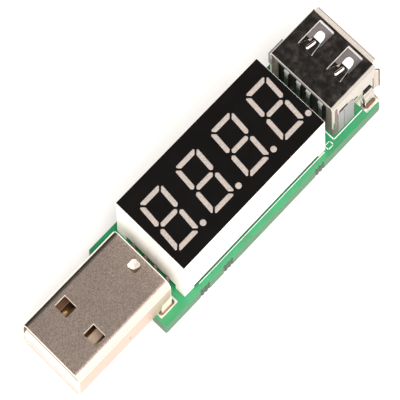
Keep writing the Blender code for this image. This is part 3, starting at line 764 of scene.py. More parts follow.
def plug_cut_face(centre, normal):
    """Sheared faces: the walls of the windows, and the rims at the two ends."""
    in_window = (abs(centre.x - WINDOW_X) < WINDOW_SIZE[0] / 2 + 0.05
                 and abs(abs(centre.y - PLUG_Y) - WINDOW_Y) < WINDOW_SIZE[1] / 2 + 0.05)
    at_end = centre.x > PLUG.high.x - RIM or abs(normal.x) > 0.9
    return at_end or (in_window and abs(normal.z) < 0.5)


def plug_inner_face(centre, normal):
    inward = centre.z - PLUG_MIDDLE[1]
    across = centre.y - PLUG_Y
    return normal.z * inward < -0.1 or normal.y * across < -0.1


def plug_dimple_face(centre, normal):
    return dimple_dip(centre.x, centre.y) > 0.02 and 0.2 < normal.z < 0.99


def plug_dimple_near_face(centre, normal):
    return plug_dimple_face(centre, normal) and max(normal.x, normal.y) > 0.2


def build_plug_tube(finish, inside, edge, pressed):
    rear = PLUG.high.x
    stations = [PLUG.low.x, PLUG.low.x + 2.0, *dimple_steps(DIMPLE_CENTRE[0], 1), rear - RIM, rear]
    outer = [plug_ring(x, RIM / 2 if x == rear else 0.0) for x in stations]
    shape = tube(bmesh.new(), outer, [plug_ring(x, WALL) for x in stations])
    windows = bmesh.new()
    marks = bmesh.new()
    for _, side in SIDES:
        outline = rounded_rectangle((WINDOW_X, PLUG_Y + side * WINDOW_Y), WINDOW_SIZE, 0.12, 4)
        prism_z(windows, outline, PLUG_BOTTOM - 1, PLUG.high.z + 1)
        for x in (10.4, 14.3):
            mark = circle((PLUG.low.x + x, PLUG_BOTTOM + 1.95), 0.2, 16)
            prism_y(marks, mark, *middle(PLUG_Y + side * PLUG_WIDTH / 2, 0.16))
    seam = block(bmesh.new(), (PLUG.low.x - 1, rear + 1), middle(PLUG_Y, 0.07),
                 (PLUG_BOTTOM - 1, PLUG_BOTTOM + WALL * 0.6))
    thing = piece("plug_tube", shape, (finish, inside, edge, pressed), 0.08,
                  cuts=(windows, seam, marks), stands_for=PLUG.name)
    # painted shade: the tube's inner faces are drawn dark brown
    paint(thing, 1, plug_inner_face)
    paint(thing, 2, plug_cut_face)
    paint(thing, 3, plug_dimple_face)
    # painted shade: the near slopes of the dimple are drawn dark brown, as a shaded crescent
    paint(thing, 1, plug_dimple_near_face)


def build_plug_legs(finish):
    half = [(0.55, TIP_Z), (LEG_WIDTH / 2, 1.0), (LEG_WIDTH / 2, PLUG_BOTTOM + 1.6)]
    outline = [(PLUG_LEG_X - x, z) for x, z in reversed(half)] + [(PLUG_LEG_X + x, z) for x, z in half]
    for side_name, side in SIDES:
        wall_y = PLUG_Y + side * (PLUG_WIDTH / 2 - WALL / 2)
        shape = prism_y(bmesh.new(), fillet(outline, 0.25), *middle(wall_y, WALL + 0.02))
        piece(f"plug_leg_{side_name}", shape, finish)


def build_plug_moulding(finish, shade):
    _, low, high, _ = node("plug_insulator")
    tongue_top = PLUG_CONTACTS[0].high.z - 0.05
    width = (low.y - 1, high.y + 1)
    mouth = PLUG.low.x + 0.03
    shape = prism_x(bmesh.new(), plug_outline(WALL - 0.03), mouth, high.x)
    hollow = block(bmesh.new(), (low.x - 1, PLUG.low.x + 11.75), width, (tongue_top, high.z + 1))
    ramp = [(mouth - 1, tongue_top + 0.02), (mouth - 1, tongue_top - 0.35),
            (mouth, tongue_top - 0.35), (mouth + 0.5, tongue_top + 0.02)]
    lead_in = prism_y(bmesh.new(), ramp, *width)
    grooves = bmesh.new()
    for contact in PLUG_CONTACTS:
        block(grooves, (contact.low.x - 0.05, high.x + 1),
              (contact.low.y - 0.05, contact.high.y + 0.05),
              (contact.high.z - 0.35, contact.high.z + 0.05))
    relief = turned(bmesh.new(), DIMPLE_CENTRE, [(1.35, high.z - 0.7), (1.35, high.z + 1)])
    thing = piece("plug_moulding", shape, (finish, shade),
                  cuts=(hollow, lead_in, grooves, relief), stands_for="plug_insulator")
    # painted shade: the tongue's top inside the hollow takes the shaded finish
    paint(thing, 1, lambda centre, normal: normal.z > 0.5 and centre.z < tongue_top + 0.1)


def build_plug_contacts(finish):
    """Flat gold strips that dip at the tip and turn down through the board at the rear."""
    for name, low, high, centre in PLUG_CONTACTS:
        top = high.z - STRIP / 2
        tail_x = high.x - 0.15
        place = along_x(centre.y)
        bar = [(low.x + 0.02, top - 0.14), (low.x + 0.35, top), (tail_x - 0.55, top)]
        shape = ribbon(bmesh.new(), fillet(bar, 0.2, closed=False), 0.5, STRIP, place)
        bend = [(tail_x - 0.7, top), (tail_x, top), (tail_x, low.z)]
        ribbon(shape, fillet(bend, 0.4, 8, closed=False), 0.25, STRIP, place)
        strip = name.replace("contact", "strip")
        piece(strip, shape, finish, 0.03, stands_for=name)


# Display

def segment_outlines(centre_x):
    """The seven segment outlines of one slanted digit."""
    h = SEGMENT_HALF
    w = DIGIT_HALF_WIDTH
    r = DIGIT_ROW

    def mirrored(half):
        return half + [(-x, y) for x, y in reversed(half)]

    def level(y, side):
        rise = side * h
        return mirrored([(w - 0.56, y - rise), (w - 0.02, y + rise * 0.43), (w - 0.17, y + rise)])

    def upright(sx, sy):
        corners = (
            (w - h, r - 0.58), (w + h * 0.5, r - 0.02), (w + h, r - 0.17),
            (w + h, 0.57), (w, 0.24), (w - h, 0.57),
        )
        return [(sx * x, sy * y) for x, y in corners]

    outlines = [level(r, 1), mirrored([(w - 0.57, -h), (w - 0.25, 0.0), (w - 0.57, h)]), level(-r, -1)]
    outlines += [upright(sx, sy) for sx in (-1, 1) for sy in (-1, 1)]
    return [
        fillet([(centre_x + x + DIGIT_SLANT * y, DIGIT_Y + y) for x, y in outline], 0.14, 3)
        for outline in outlines
    ]


def light_outlines():
    outlines = []
    for digit in range(DIGIT_COUNT):
        centre_x = DIGIT_X + DIGIT_PITCH * (digit - 1.5)
        point = (centre_x + POINT_OFFSET[0], DIGIT_Y + POINT_OFFSET[1])
        outlines += segment_outlines(centre_x)
        outlines.append([Vector(p) for p in circle(point, POINT_RADIUS, 28)])
    return outlines


LIGHTS = light_outlines()


def light_holes(low, high):
    shape = bmesh.new()
    for outline in LIGHTS:
        prism_z(shape, outline, low, high)
    return shape


def shrink(outline, amount):
    """Pull an outline's points towards its middle by about the same distance each way."""
    centre = sum(outline, Vector((0, 0))) / len(outline)
    scale = Vector([1 - amount / max(abs(p[i] - centre[i]) for p in outline) for i in (0, 1)])
    return [centre + (p - centre) * scale for p in outline]


def build_display_body(finish, underside_shade):
    _, low, high, _ = HOUSING
    shape = block(bmesh.new(), (low.x, high.x), (low.y, high.y), (low.z, high.z))
    pocket = block(bmesh.new(), (low.x + 0.6, high.x - 0.6), (low.y + 0.6, high.y - 0.6),
                   (low.z - 1, high.z - 5.35))
    relief = block(bmesh.new(), (low.x + 2.0, high.x - 1.55), (low.y - 1, high.y + 1),
                   (low.z - 1, low.z + 0.45))
    ends = block(bmesh.new(), (low.x - 1, high.x + 1), (low.y + 1.9, high.y - 1.9),
                 (low.z - 1, low.z + 0.85))
    wells = light_holes(high.z - 1.2, high.z + 1)
    thing = piece("display_body", shape, (finish, underside_shade),
                  cuts=(pocket, relief, ends, wells), stands_for=HOUSING.name)
    # painted shade: downward faces inside the relief and the pocket are drawn black
    paint(thing, 1, lambda centre, normal: centre.z > low.z + 0.05 and normal.z < -0.5)


def build_display_shade_bead(finish):
    """A dark bead under the side walls, between the feet; it darkens the strip under the housing where
    shade falls.
    """
    _, low, high, _ = HOUSING
    foot = BOARD_TOP + 0.02
    top = low.z + 0.45
    shape = bmesh.new()
    for side in (-1, 1):
        bead = [(0.0, foot), (0.0, low.z + 0.35), (0.1, top), (0.4, top), (0.5, foot)]
        outline = fillet([(side * (high.y - 0.06 - y), z) for y, z in bead], 0.05, 3)
        prism_x(shape, outline, low.x + 2.05, high.x - 1.6)
    piece("display_shade_bead", shape, finish, bevel=0.0)


def build_display_mask(finish):
    _, low, high, _ = FACE
    shape = block(bmesh.new(), (low.x, high.x - 0.14), (low.y, high.y), (low.z, high.z))
    piece("display_mask", shape, finish, 0.025,
          cuts=(light_holes(low.z - 1, high.z + 1),), stands_for=FACE.name)


def build_display_lights(finish):
    """One cast light guide for each segment and point, with a slightly crowned top."""
    top = FACE.high.z - 0.02
    shape = bmesh.new()
    for outline in LIGHTS:
        levels = ((0.03, top - 1.1), (0.03, top - 0.05), (0.07, top - 0.012), (0.16, top))
        loft(shape, [[(p.x, p.y, z) for p in shrink(outline, inset)] for inset, z in levels])
    piece("display_lights", shape, finish, 0.0, stands_for="display_epoxy")


def build_display_pins(finish):
    """Square leads with pointed ends."""
    for name, low, high, centre in PINS:
        sections = []
        for half_x, half_y, z in ((0.12, 0.06, low.z), (0.25, 0.125, low.z + 0.25), (0.25, 0.125, high.z)):
            corners = ((-1, -1), (1, -1), (1, 1), (-1, 1))
            sections.append([(centre.x + x * half_x, centre.y + y * half_y, z) for x, y in corners])
        lead = name.replace("pin", "lead")
        piece(lead, loft(bmesh.new(), sections), finish, 0.03, stands_for=name)


def build_display_back(finish):
    """The display's own small board, inside the housing."""
    name, low, high, centre = node("display_board")
    outline = rounded_rectangle(centre, high - low, 0.3, 4)
    holes = bmesh.new()
    for place in PIN_HOLES:
        prism_z(holes, circle(place, HOLE_RADIUS), low.z - 1, high.z + 1)
    shape = prism_z(bmesh.new(), outline, low.z, high.z)
    piece("display_back", shape, finish, cuts=(holes,), stands_for=name)


# Socket

SPRING_ROOT_X = 25.35
SPRING_OPENING = (5.05, 2.95)
SPRING_Y = 2.95
SPRING_START = -0.12                   # the finger begins inside the plate
SPRING_BEND = 2.6                      # from the root to the lowest line
SPRING_HEAD = 3.3                      # where the round tag begins
SPRING_LENGTH = 4.12
SPRING_DROP = 0.62
SPRING_TIP_RISE = 0.3
HEAD_HALF = 0.74
LEAF = 0.25
BEAD = (0.3, 0.25)                     # half width and height of the rib
BEAD_SPAN = (0.15, 2.4)
SIDE_SLOTS = (
    ((22.85, 24.65), (BOARD_TOP + 4.58, BOARD_TOP + 5.05)),
    ((25.45, 26.85), (BOARD_TOP + 3.82, BOARD_TOP + 4.2)),
    ((30.24, 30.38), (BOARD_TOP + 1.9, BOARD_TOP + 4.4)),
)
LEG_WINDOW = (
    (28.05, 2.35), (28.05, 3.9), (29.45, 3.9), (30.35, 2.1), (30.35, 1.75), (30.0, 1.75), (29.6, 2.35),
)
SKIRT_LOW = BOARD_TOP + 0.3
SKIRT_STEP = BOARD_TOP + 0.8
LAP_TOP = BOARD_TOP + 4.45
LAP_SPANS = ((22.55, 23.82), (23.9, 25.95))


def socket_ring(x, inset):
    size = (SOCKET_WIDTH - 2 * inset, SOCKET_HEIGHT - 2 * inset)
    outline = rounded_rectangle((SOCKET_Y, SOCKET_MID_Z), size, SOCKET_CORNER - inset)
    return [(x, y, z) for y, z in outline]


def socket_inner_face(centre, normal):
    above = centre.z - SOCKET_MID_Z
    across = centre.y - SOCKET_Y
    return abs(normal.x) < 0.5 and (normal.z * above < -0.3 or normal.y * across < -0.3)


def socket_cut_face(centre, normal):
    """Walls of the spring openings that face -X or -Y, and the cut rear rim; sheared edges are paler, but
    the bright finish on only these walls is a painted highlight.
    """
    if abs(normal.x) > 0.9 and centre.x < SOCKET.low.x + 0.1:
        return True
    in_plate = abs(abs(centre.z - SOCKET_MID_Z) - SOCKET_HEIGHT / 2) < WALL
    over_opening = abs(abs(centre.y - SOCKET_Y) - SPRING_Y) < SPRING_OPENING[1] / 2 + 0.05
    return in_plate and over_opening and min(normal.x, normal.y) < -0.5


def socket_slot_face(centre, normal):
    """Walls of the slots and windows in the two sides, which are drawn dark as painted shade."""
    in_wall = abs(abs(centre.y - SOCKET_Y) - SOCKET_WIDTH / 2) < WALL
    between = SOCKET_BOTTOM + 0.4 < centre.z < SOCKET_TOP - 0.7
    return in_wall and between and abs(normal.y) < 0.5 and centre.x > SOCKET.low.x + 0.2


def build_socket_case(finish, inside, edge):
    ends = (SOCKET.low.x, SOCKET_FRONT)
    shape = tube(bmesh.new(), [socket_ring(x, 0.0) for x in ends], [socket_ring(x, WALL) for x in ends])
    openings = bmesh.new()
    for z in (SOCKET_TOP, SOCKET_BOTTOM):
        for _, side in SIDES:
            place = (SPRING_ROOT_X + SPRING_OPENING[0] / 2, SOCKET_Y + side * SPRING_Y)
            prism_z(openings, rounded_rectangle(place, SPRING_OPENING, 0.2, 4), *middle(z, 1.4))
    slots = bmesh.new()
    leg_windows = bmesh.new()
    for _, side in SIDES:
        wall = middle(SOCKET_Y + side * SOCKET_WIDTH / 2, 1.0)
        for x_range, z_range in SIDE_SLOTS:
            block(slots, x_range, wall, z_range)
        prism_y(leg_windows, [(x, BOARD_TOP + z) for x, z in LEG_WINDOW], *wall)
    floor_cut = block(bmesh.new(), (SOCKET.low.x - 1, 23.0), middle(SOCKET_Y, SOCKET_WIDTH + 1),
                      (SOCKET_BOTTOM - 1, SOCKET_BOTTOM + 0.75))
    thing = piece("socket_case", shape, (finish, inside, edge), 0.03,
                  cuts=(openings, slots, leg_windows, floor_cut), stands_for=SOCKET.name)
    # painted shade: the case's inner faces and the walls of its side slots are drawn dark
    paint(thing, 1, socket_inner_face)
    paint(thing, 1, socket_slot_face)
    # painted highlight: opening walls facing -X or -Y take the bright cut-edge finish
    paint(thing, 2, socket_cut_face)


def build_socket_lips(finish, edge, dark):
    """The flared lips of the mouth, one curved strip on each side."""
    reach = SOCKET.high.x - SOCKET_FRONT
    rows = (
        ("top", lambda x, a, h: (x, SOCKET_Y + a, SOCKET_MID_Z + h)),
        ("bottom", lambda x, a, h: (x, SOCKET_Y + a, SOCKET_MID_Z - h)),
        ("left", lambda x, a, h: (x, SOCKET_Y + h, SOCKET_MID_Z - 0.3 + a)),
        ("right", lambda x, a, h: (x, SOCKET_Y - h, SOCKET_MID_Z - 0.3 + a)),
    )
    for name, place in rows:
        level = name in ("top", "bottom")
        half_width = SOCKET_WIDTH / 2
        half_height = SOCKET_HEIGHT / 2
        span, face = (half_width - 0.55, half_height) if level else (half_height - 0.85, half_width)
        path = []
        halves = []
        for step in range(-2, 9):
            t = step / 8
            out = max(t, 0)
            height = face - WALL / 2 + FLARE_RISE * out ** 1.5
            path.append((SOCKET_FRONT + reach * t - 0.06 * out, height))
            halves.append(span - 0.5 * max(t - 0.45, 0) ** 2)
        shape = ribbon(bmesh.new(), path, halves, WALL, place)
        finishes = (finish, edge if level else dark)
        thing = piece(f"socket_lip_{name}", shape, finishes, 0.06)
        # the lips' outer ends are drawn dark: partly a dull cut edge, partly painted shade
        start = SOCKET.high.x - (0.12 if level else 0.34)
        paint(thing, 1, lambda centre, normal: centre.x > start)


def hanging(shape, path, low, high, thickness):
    """An upright strip that follows a path of (across, along) points on the board."""
    half = (high - low) / 2
    return ribbon(shape, path, half, thickness, lambda y, up, x: (x, y, low + half + up))


def build_socket_sides(finish, matte, dark):
    """Skirts, folded laps, rear flaps and cranked legs on both sides of the socket."""
    skirt_top = SOCKET_MID_Z - 0.5
    skirt = [(22.1, SKIRT_LOW), (26.0, SKIRT_LOW), (26.0, SKIRT_STEP), (28.0, SKIRT_STEP),
             (28.0, skirt_top), (22.1, skirt_top)]
    rear = SOCKET.low.x
    for side_name, side in SIDES:
        wall_y = SOCKET_Y + side * (SOCKET_WIDTH / 2 - WALL / 2)
        shape = prism_y(bmesh.new(), fillet(skirt, 0.15), *middle(wall_y, WALL - 0.01))
        piece(f"socket_skirt_{side_name}", shape, finish)
        lap_y = sorted((wall_y, SOCKET_Y + side * (SOCKET_WIDTH / 2 + 0.12)))
        shape = bmesh.new()
        for low_x, high_x in LAP_SPANS:
            lap = [(low_x, SKIRT_LOW), (high_x, SKIRT_LOW), (high_x, LAP_TOP), (low_x, LAP_TOP)]
            prism_y(shape, fillet(lap, 0.12), *lap_y)
        piece(f"socket_lap_{side_name}", shape, matte)
        outer = SOCKET_Y + side * (SOCKET_WIDTH / 2 - 0.02)
        bend = [(outer, rear + 0.9), (outer - side * 0.13, rear + 0.16), (outer - side * 1.5, rear + 0.16)]
        path = fillet(bend, 0.35, 6, closed=False)
        shape = hanging(bmesh.new(), path, SKIRT_LOW, SOCKET_TOP - 0.7, WALL - 0.02)
        piece(f"socket_flap_{side_name}", shape, dark)
        build_socket_leg(side_name, side, finish)
    build_socket_wrap(matte)


def build_socket_wrap(matte):
    """On the left a taller lap wraps round the rear corner; a short flap hangs behind the top."""
    outer = SOCKET_Y + SOCKET_WIDTH / 2 + 0.17
    rear = SOCKET.low.x - 0.18
    bend = [(outer, SOCKET.low.x + 3.0), (outer, rear), (outer - 0.75, rear)]
    path = fillet(bend, 0.3, 6, closed=False)
    shape = hanging(bmesh.new(), path, LAP_TOP, SOCKET_TOP - 0.55, 0.26)
    piece("socket_wrap", shape, matte)
    top = SOCKET_TOP - WALL
    shape = block(bmesh.new(), (SOCKET.low.x + 0.03, SOCKET.low.x + 0.28),
                  middle(SOCKET_Y, SOCKET_WIDTH - 2.2), (top - 0.55, top + 0.02))
    piece("socket_rear_flap", shape, matte)


def build_socket_leg(side_name, side, finish):
    wall_y = SOCKET_WIDTH / 2 - WALL / 2
    leg_y = SOCKET_WIDTH / 2 + 0.25
    taper = 1.2
    bend = [(wall_y, BOARD_TOP + 2.5), (wall_y, BOARD_TOP + 2.2), (leg_y, BOARD_TOP + 1.6),
            (leg_y, taper), (leg_y, TIP_Z)]
    path = fillet(bend, 0.45, 6, closed=False)
    halves = [LEG_WIDTH / 2 if height > taper else 0.5 + 0.5 * height / taper for _, height in path]
    shape = ribbon(bmesh.new(), path, halves, WALL,
                   lambda along, across, height: (SOCKET_LEG_X + across, SOCKET_Y + side * along, height))
    piece(f"socket_leg_{side_name}", shape, finish, 0.06)


def spring_half(s):
    """Half width: the finger narrows to the bend, and the tip is a rounded tag."""
    if s < SPRING_BEND:
        return 1.4 - 0.24 * max(s, 0.0)
    return HEAD_HALF * math.sqrt(max(0.1, 1 - (max(s - SPRING_HEAD, 0.0) / 0.9) ** 2))


def spring_path(plate, way):
    """Falls away from the plate in a smooth wave, then rises a little to its tip."""
    path = []
    halves = []
    for step in range(33):
        s = SPRING_START + (SPRING_LENGTH - SPRING_START) * step / 32
        past = max(s - SPRING_BEND, 0.0) / (SPRING_LENGTH - SPRING_BEND)
        drop = 0.02 + SPRING_DROP * ease(max(s, 0.0) / SPRING_BEND) - SPRING_TIP_RISE * past ** 1.4
        path.append((SPRING_ROOT_X + s, plate - way * (drop + LEAF / 2)))
        halves.append(spring_half(s))
    return path, halves


def spring_bead(path, way, centre_y):
    """Stiffening rib pressed up along the middle of the finger."""
    start, end = BEAD_SPAN
    stations = [point for point in path if start < point[0] - SPRING_ROOT_X < end]
    sections = []
    for i, (x, z) in enumerate(stations):
        t = 2 * i / (len(stations) - 1) - 1
        size = math.sqrt(max(0.02, 1 - t ** 6))
        angles = [math.pi * k / 10 for k in range(11)]
        arch = [(BEAD[0] * size * math.cos(a), BEAD[1] * size * math.sin(a)) for a in angles]
        sections.append([(x, centre_y + y, z + way * (0.1 + rise)) for y, rise in arch])
    return loft(bmesh.new(), sections)


def build_socket_springs(finish, tip):
    head = SPRING_ROOT_X + SPRING_BEND + 0.1
    for row, plate, way in (("top", SOCKET_TOP, 1), ("bottom", SOCKET_BOTTOM, -1)):
        for side_name, side in SIDES:
            name = f"socket_spring_{row}_{side_name}"
            centre_y = SOCKET_Y + side * SPRING_Y
            path, halves = spring_path(plate, way)
            shape = ribbon(bmesh.new(), path, halves, LEAF, along_x(centre_y))
            leaf = piece(name + "_leaf", shape, (finish, tip), 0.08, name, stands_for=name)
            # painted highlight: the -Y cut edge of the finger and of its rib, and the top of its head, are
            # drawn near white
            paint(leaf, 1, lambda centre, normal: normal.y < -0.5)
            paint(leaf, 1, lambda centre, normal: normal.z * way > 0.5 and centre.x > head)
            shape = spring_bead(path, way, centre_y)
            bead = piece(name + "_bead", shape, (finish, tip), 0.0, name)
            paint(bead, 1, lambda centre, normal: normal.y < -0.3)


def build_socket_moulding(finish, pale):
    name, low, high, _ = node("socket_insulator")
    floor = BOARD_TOP + 4.03
    top = BOARD_TOP + 5.85
    shape = block(bmesh.new(), (low.x, 22.95), (low.y, high.y), (low.z, high.z))
    outline = [(22.6, floor), (high.x - 0.35, floor), (high.x, floor + 0.3),
               (high.x, top - 0.45), (high.x - 0.5, top), (22.6, top)]
    tongue = prism_y(bmesh.new(), outline, *middle(SOCKET_Y, 11.0))
    slot_top = floor + 0.95
    outline = [(low.x - 1, slot_top - 0.36), (23.55, slot_top - 0.36), (23.55, floor - 1),
               (29.95, floor - 1), (29.95, slot_top), (low.x - 1, slot_top)]
    grooves = bmesh.new()
    for contact in SOCKET_CONTACTS:
        prism_y(grooves, outline, *middle(contact.centre.y, 1.3))
    strip_x = SPRING_ROOT_X + 2.2
    score = block(bmesh.new(), middle(strip_x, 0.04), middle(SOCKET_Y, 12.0), (top - 0.03, top + 1))
    thing = piece("socket_moulding", shape, (finish, pale), 0.06,
                  joins=(tongue,), cuts=(grooves, score), stands_for=name)
    # painted sheen: the black tongue's top in front of strip_x is drawn grey
    paint(thing, 1, lambda centre, normal: (
        normal.z > 0.3 and centre.x > strip_x and centre.z > top - 0.5))


def build_socket_contacts(finish, tin):
    """Fixed rear half of each contact: a bar that turns down to the board behind the body."""
    for name, low, high, centre in SOCKET_CONTACTS:
        top = high.z - STRIP / 2
        tail_x = low.x + 0.125
        place = along_x(centre.y)
        path = fillet([(tail_x, top - 0.9), (tail_x, top), (high.x, top)], 0.35, 8, closed=False)
        halves = [0.3 if point[1] < top - 0.3 else 0.45 for point in path]
        shape = ribbon(bmesh.new(), path, halves, STRIP, place)
        tail = [(tail_x, z) for z in (top - 0.85, BOARD_TOP, low.z + 0.3, low.z)]
        ribbon(shape, tail, [0.3, 0.3, 0.3, 0.15], STRIP, place)
        strip = name.replace("contact", "strip")
        thing = piece(strip, shape, (finish, tin), 0.03, stands_for=name)
        # the tails take the tin finish, whose lower part is a painted shadow
        paint(thing, 1, lambda centre, normal: centre.x < SOCKET.low.x + 1.2)


def build_contact_beams(finish):
    """Springy front half of each contact, bowed down towards the plug."""
    thickness = 0.2
    lowest = 0.84                      # share of the length
    for name, low, high, centre in family("socket_contact_beam", 4):
        fall = high.z - low.z - thickness
        path = []
        for step in range(25):
            t = step / 24
            sag = ease(t / lowest) - 0.5 * (max(t - lowest, 0.0) / (1 - lowest)) ** 1.6
            path.append((low.x + (high.x - low.x) * t, high.z - thickness / 2 - fall * sag))
        halves = [0.45 - 0.1 * max(0, i - 14) / 10 for i in range(25)]
        shape = ribbon(bmesh.new(), path, halves, thickness, along_x(centre.y))
        piece(name + "_leaf", shape, finish, 0.03, name, stands_for=name)


# Underside

def chip(part, body_size, leads, finish, metal):
    """A moulded chip with drafted sides, a pin-one dimple and bent leads."""
    name, low, high, centre = part
    length, width = body_size
    sections = []
    for inset, z in ((0.08, high.z - 0.05), (0.0, high.z - 0.45), (0.0, high.z - 0.5), (0.1, low.z)):
        ring = rounded_rectangle(centre, (length - 2 * inset, width - 2 * inset), 0.08, 3)
        sections.append([(x, y, z) for x, y in ring])
    corner = (centre.x - length / 2 + 0.5, centre.y - width / 2 + 0.5)
    mark = turned(bmesh.new(), corner, [(0.22, low.z - 1), (0.22, low.z + 0.06)])
    shape = loft(bmesh.new(), sections)
    piece(name + "_body", shape, finish, 0.03, cuts=(mark,), stands_for=name)
    count, pitch, lead_width = leads
    knee = high.z - 0.5
    foot = high.z - 0.06
    bend = [(width / 2 - 0.1, knee), (width / 2 + 0.22, knee), (width / 2 + 0.3, foot),
            ((high.y - low.y) / 2, foot)]
    path = fillet(bend, 0.12, 3, closed=False)
    shape = bmesh.new()
    for i in range(count):
        x = centre.x + (i - (count - 1) / 2) * pitch
        for _, side in SIDES:
            ribbon(shape, path, lead_width / 2, 0.12,
                   lambda along, across, height: (x + across, centre.y + side * along, height))
    piece(name + "_leads", shape, metal, 0.0)


def end_capped(part, cap, finish, metal):
    """A chip resistor, capacitor or shunt: a block with metal wrapped round its two ends."""
    name, low, high, centre = part
    reach = (high.y - low.y) / 2
    shape = block(bmesh.new(), (low.x, high.x), (low.y + 0.02, high.y - 0.02), (low.z, high.z))
    piece(name + "_body", shape, finish, 0.06, stands_for=name)
    caps = bmesh.new()
    solder = bmesh.new()
    tall = high.z - low.z
    wedge = [(reach - 0.1, high.z + 0.04), (reach + 0.3, high.z + 0.04),
             (reach + 0.08, high.z - tall * 0.35), (reach - 0.1, high.z - tall * 0.55)]
    for _, side in SIDES:
        end = sorted((centre.y + side * reach, centre.y + side * (reach - cap)))
        block(caps, (low.x - 0.02, high.x + 0.02), end, (low.z - 0.02, high.z + 0.02))
        outline = fillet([(centre.y + side * y, z) for y, z in wedge], 0.06, 2)
        prism_x(solder, outline, low.x + 0.02, high.x - 0.02)
    piece(name + "_caps", caps, metal, 0.07)
    piece(name + "_solder", solder, metal, bevel=0.03)


def build_underside(tin):
    black = plastic("chip_black", (0.02, 0.02, 0.022), (0.035, 0.035, 0.037), 0.5, 0.012)
    bodies = (
        # size of the body; count, pitch and width of the leads on each side
        ((6.5, 4.4), (10, 0.65, 0.24)),
        ((2.9, 1.4), (2, 1.9, 0.4)),
        ((2.9, 1.4), (3, 0.95, 0.32)),
    )
    for part, (body_size, leads) in zip(CHIPS, bodies):
        chip(part, body_size, leads, black, tin)
    looks = (
        # length of the metal ends, and the colours of the body
        (CAPPED[:1], 0.9, "shunt_black", (0.03, 0.03, 0.034), (0.05, 0.05, 0.055)),
        (CAPPED[1:4], 0.4, "capacitor_tan", (0.42, 0.28, 0.16), (0.34, 0.22, 0.12)),
        (CAPPED[4:], 0.32, "resistor_black", (0.03, 0.03, 0.033), (0.06, 0.06, 0.065)),
    )
    for parts, cap, slot, colour, darker in looks:
        finish = ceramic(slot, colour, darker)
        for part in parts:
            end_capped(part, cap, finish, tin)


# Stage

FLOOR_GLOW = 0.47
PAPER = (0.57, 0.56, 0.55)
DARK_WALL = (45, 28)                   # azimuth and elevation of the unlit side of the tent
DARK_REACH = (0.42, 0.80)
DARK_LEVEL = 0.03
HORIZON_REACH = (0.0, 0.09)
HORIZON_LEVEL = 0.3
WORLD_STRENGTH = 1.25


def build_floor():
    """A pale light table: paper lit a little from below."""
    shape = bmesh.new()
    bmesh.ops.create_grid(shape, x_segments=1, y_segments=1, size=0.9)
    mesh = bpy.data.meshes.new("floor")
    shape.to_mesh(mesh)
    shape.free()
    floor = bpy.data.objects.new("floor", mesh)
    floor.location.z = TIP_Z * MM
    bpy.context.collection.objects.link(floor)
    finish = Finish("paper", PAPER, 0.8)
    finish.set("Base Color", finish.mix(finish.noise(0.4, 3.0), (0.53, 0.52, 0.51), PAPER))
    finish.set("Emission Color", (1.0, 0.97, 0.95, 1.0))
    finish.set("Emission Strength", FLOOR_GLOW)
    finish.bump(finish.noise(1.5, 3.0), 0.01)
    mesh.materials.append(finish.material)


def direction(azimuth, elevation):
    """Unit vector at an azimuth (from +X towards +Y) and an elevation, in degrees."""
    a, e = math.radians(azimuth), math.radians(elevation)
    return Vector((math.cos(a) * math.cos(e), math.sin(a) * math.cos(e), math.sin(e)))


def build_world():
    """A light tent: bright on the camera's side, dark behind the object, dim at the horizon."""
    world = bpy.data.worlds.new("tent")
    bpy.context.scene.world = world
    world.use_nodes = True
    nodes = Nodes(world.node_tree)
    smooth = {"interpolation_type": "SMOOTHSTEP"}
    inputs = {0: nodes.source.outputs["Generated"], 1: direction(*DARK_WALL)}
    facing = nodes.node("ShaderNodeVectorMath", inputs, operation="DOT_PRODUCT").outputs["Value"]
    fade = nodes.remap(facing, DARK_REACH, (1.0, DARK_LEVEL), **smooth)
    height = nodes.axis("Generated", "Z")
    horizon = nodes.remap(height, HORIZON_REACH, (HORIZON_LEVEL, 1.0), **smooth)
    strength = nodes.calculate("MULTIPLY", nodes.calculate("MULTIPLY", fade, horizon), WORLD_STRENGTH)
    background = nodes.tree.nodes["Background"]
    nodes.feed(background.inputs["Color"], (1.0, 0.975, 0.95, 1.0))
    nodes.feed(background.inputs["Strength"], strength)


def add_softbox(name, azimuth, elevation, distance, size, power):
    data = bpy.data.lights.new(name, "AREA")
    data.shape = "RECTANGLE"
    data.size, data.size_y = size
    data.energy = power
    data.color = (1.0, 0.97, 0.94)
    light = bpy.data.objects.new(name, data)
    way = direction(azimuth, elevation)
    light.location = way * distance
    light.rotation_mode = "QUATERNION"
    light.rotation_quaternion = way.to_track_quat("Z", "Y")
    bpy.context.collection.objects.link(light)


# Camera: a view camera on a long lens. Its back is tilted upright, so the picture plane isn't
# square to the line of sight and heights are drawn taller than a plain camera draws them.
AIM = Vector((0.95, 1.35, BOARD_TOP))
SIGHT = direction(-133.91, 59.45)      # from the object to the lens
BACK = direction(-135.37, 29.04)       # normal of the picture plane
BACK_ROLL = -1.10
DISTANCE = 999.0
SENSOR = 36.0
FOCAL_LENGTH = 520.15                  # along the picture plane's own normal


def build_camera():
    data = bpy.data.cameras.new("camera")
    camera = bpy.data.objects.new("camera", data)
    rig = bpy.data.objects.new("camera_rig", None)
    for thing in (camera, rig):
        bpy.context.collection.objects.link(thing)
    level = Vector((0, 0, 1)).cross(BACK).normalized()
    upright = BACK.cross(level)
    roll = math.radians(BACK_ROLL)
    right = level * math.cos(roll) + upright * math.sin(roll)
    up = upright * math.cos(roll) - level * math.sin(roll)
    data.sensor_width = SENSOR
    data.lens = FOCAL_LENGTH / SIGHT.dot(BACK)
    data.clip_start = 0.01
    data.clip_end = 20.0
    place = (AIM + SIGHT * DISTANCE) * MM
    camera.parent = rig
    columns = [(*right, 0.0), (*up, 0.0), (*SIGHT, 0.0), (*place, 1.0)]
    camera.matrix_parent_inverse = Matrix(columns).transposed()
    bpy.context.scene.camera = camera


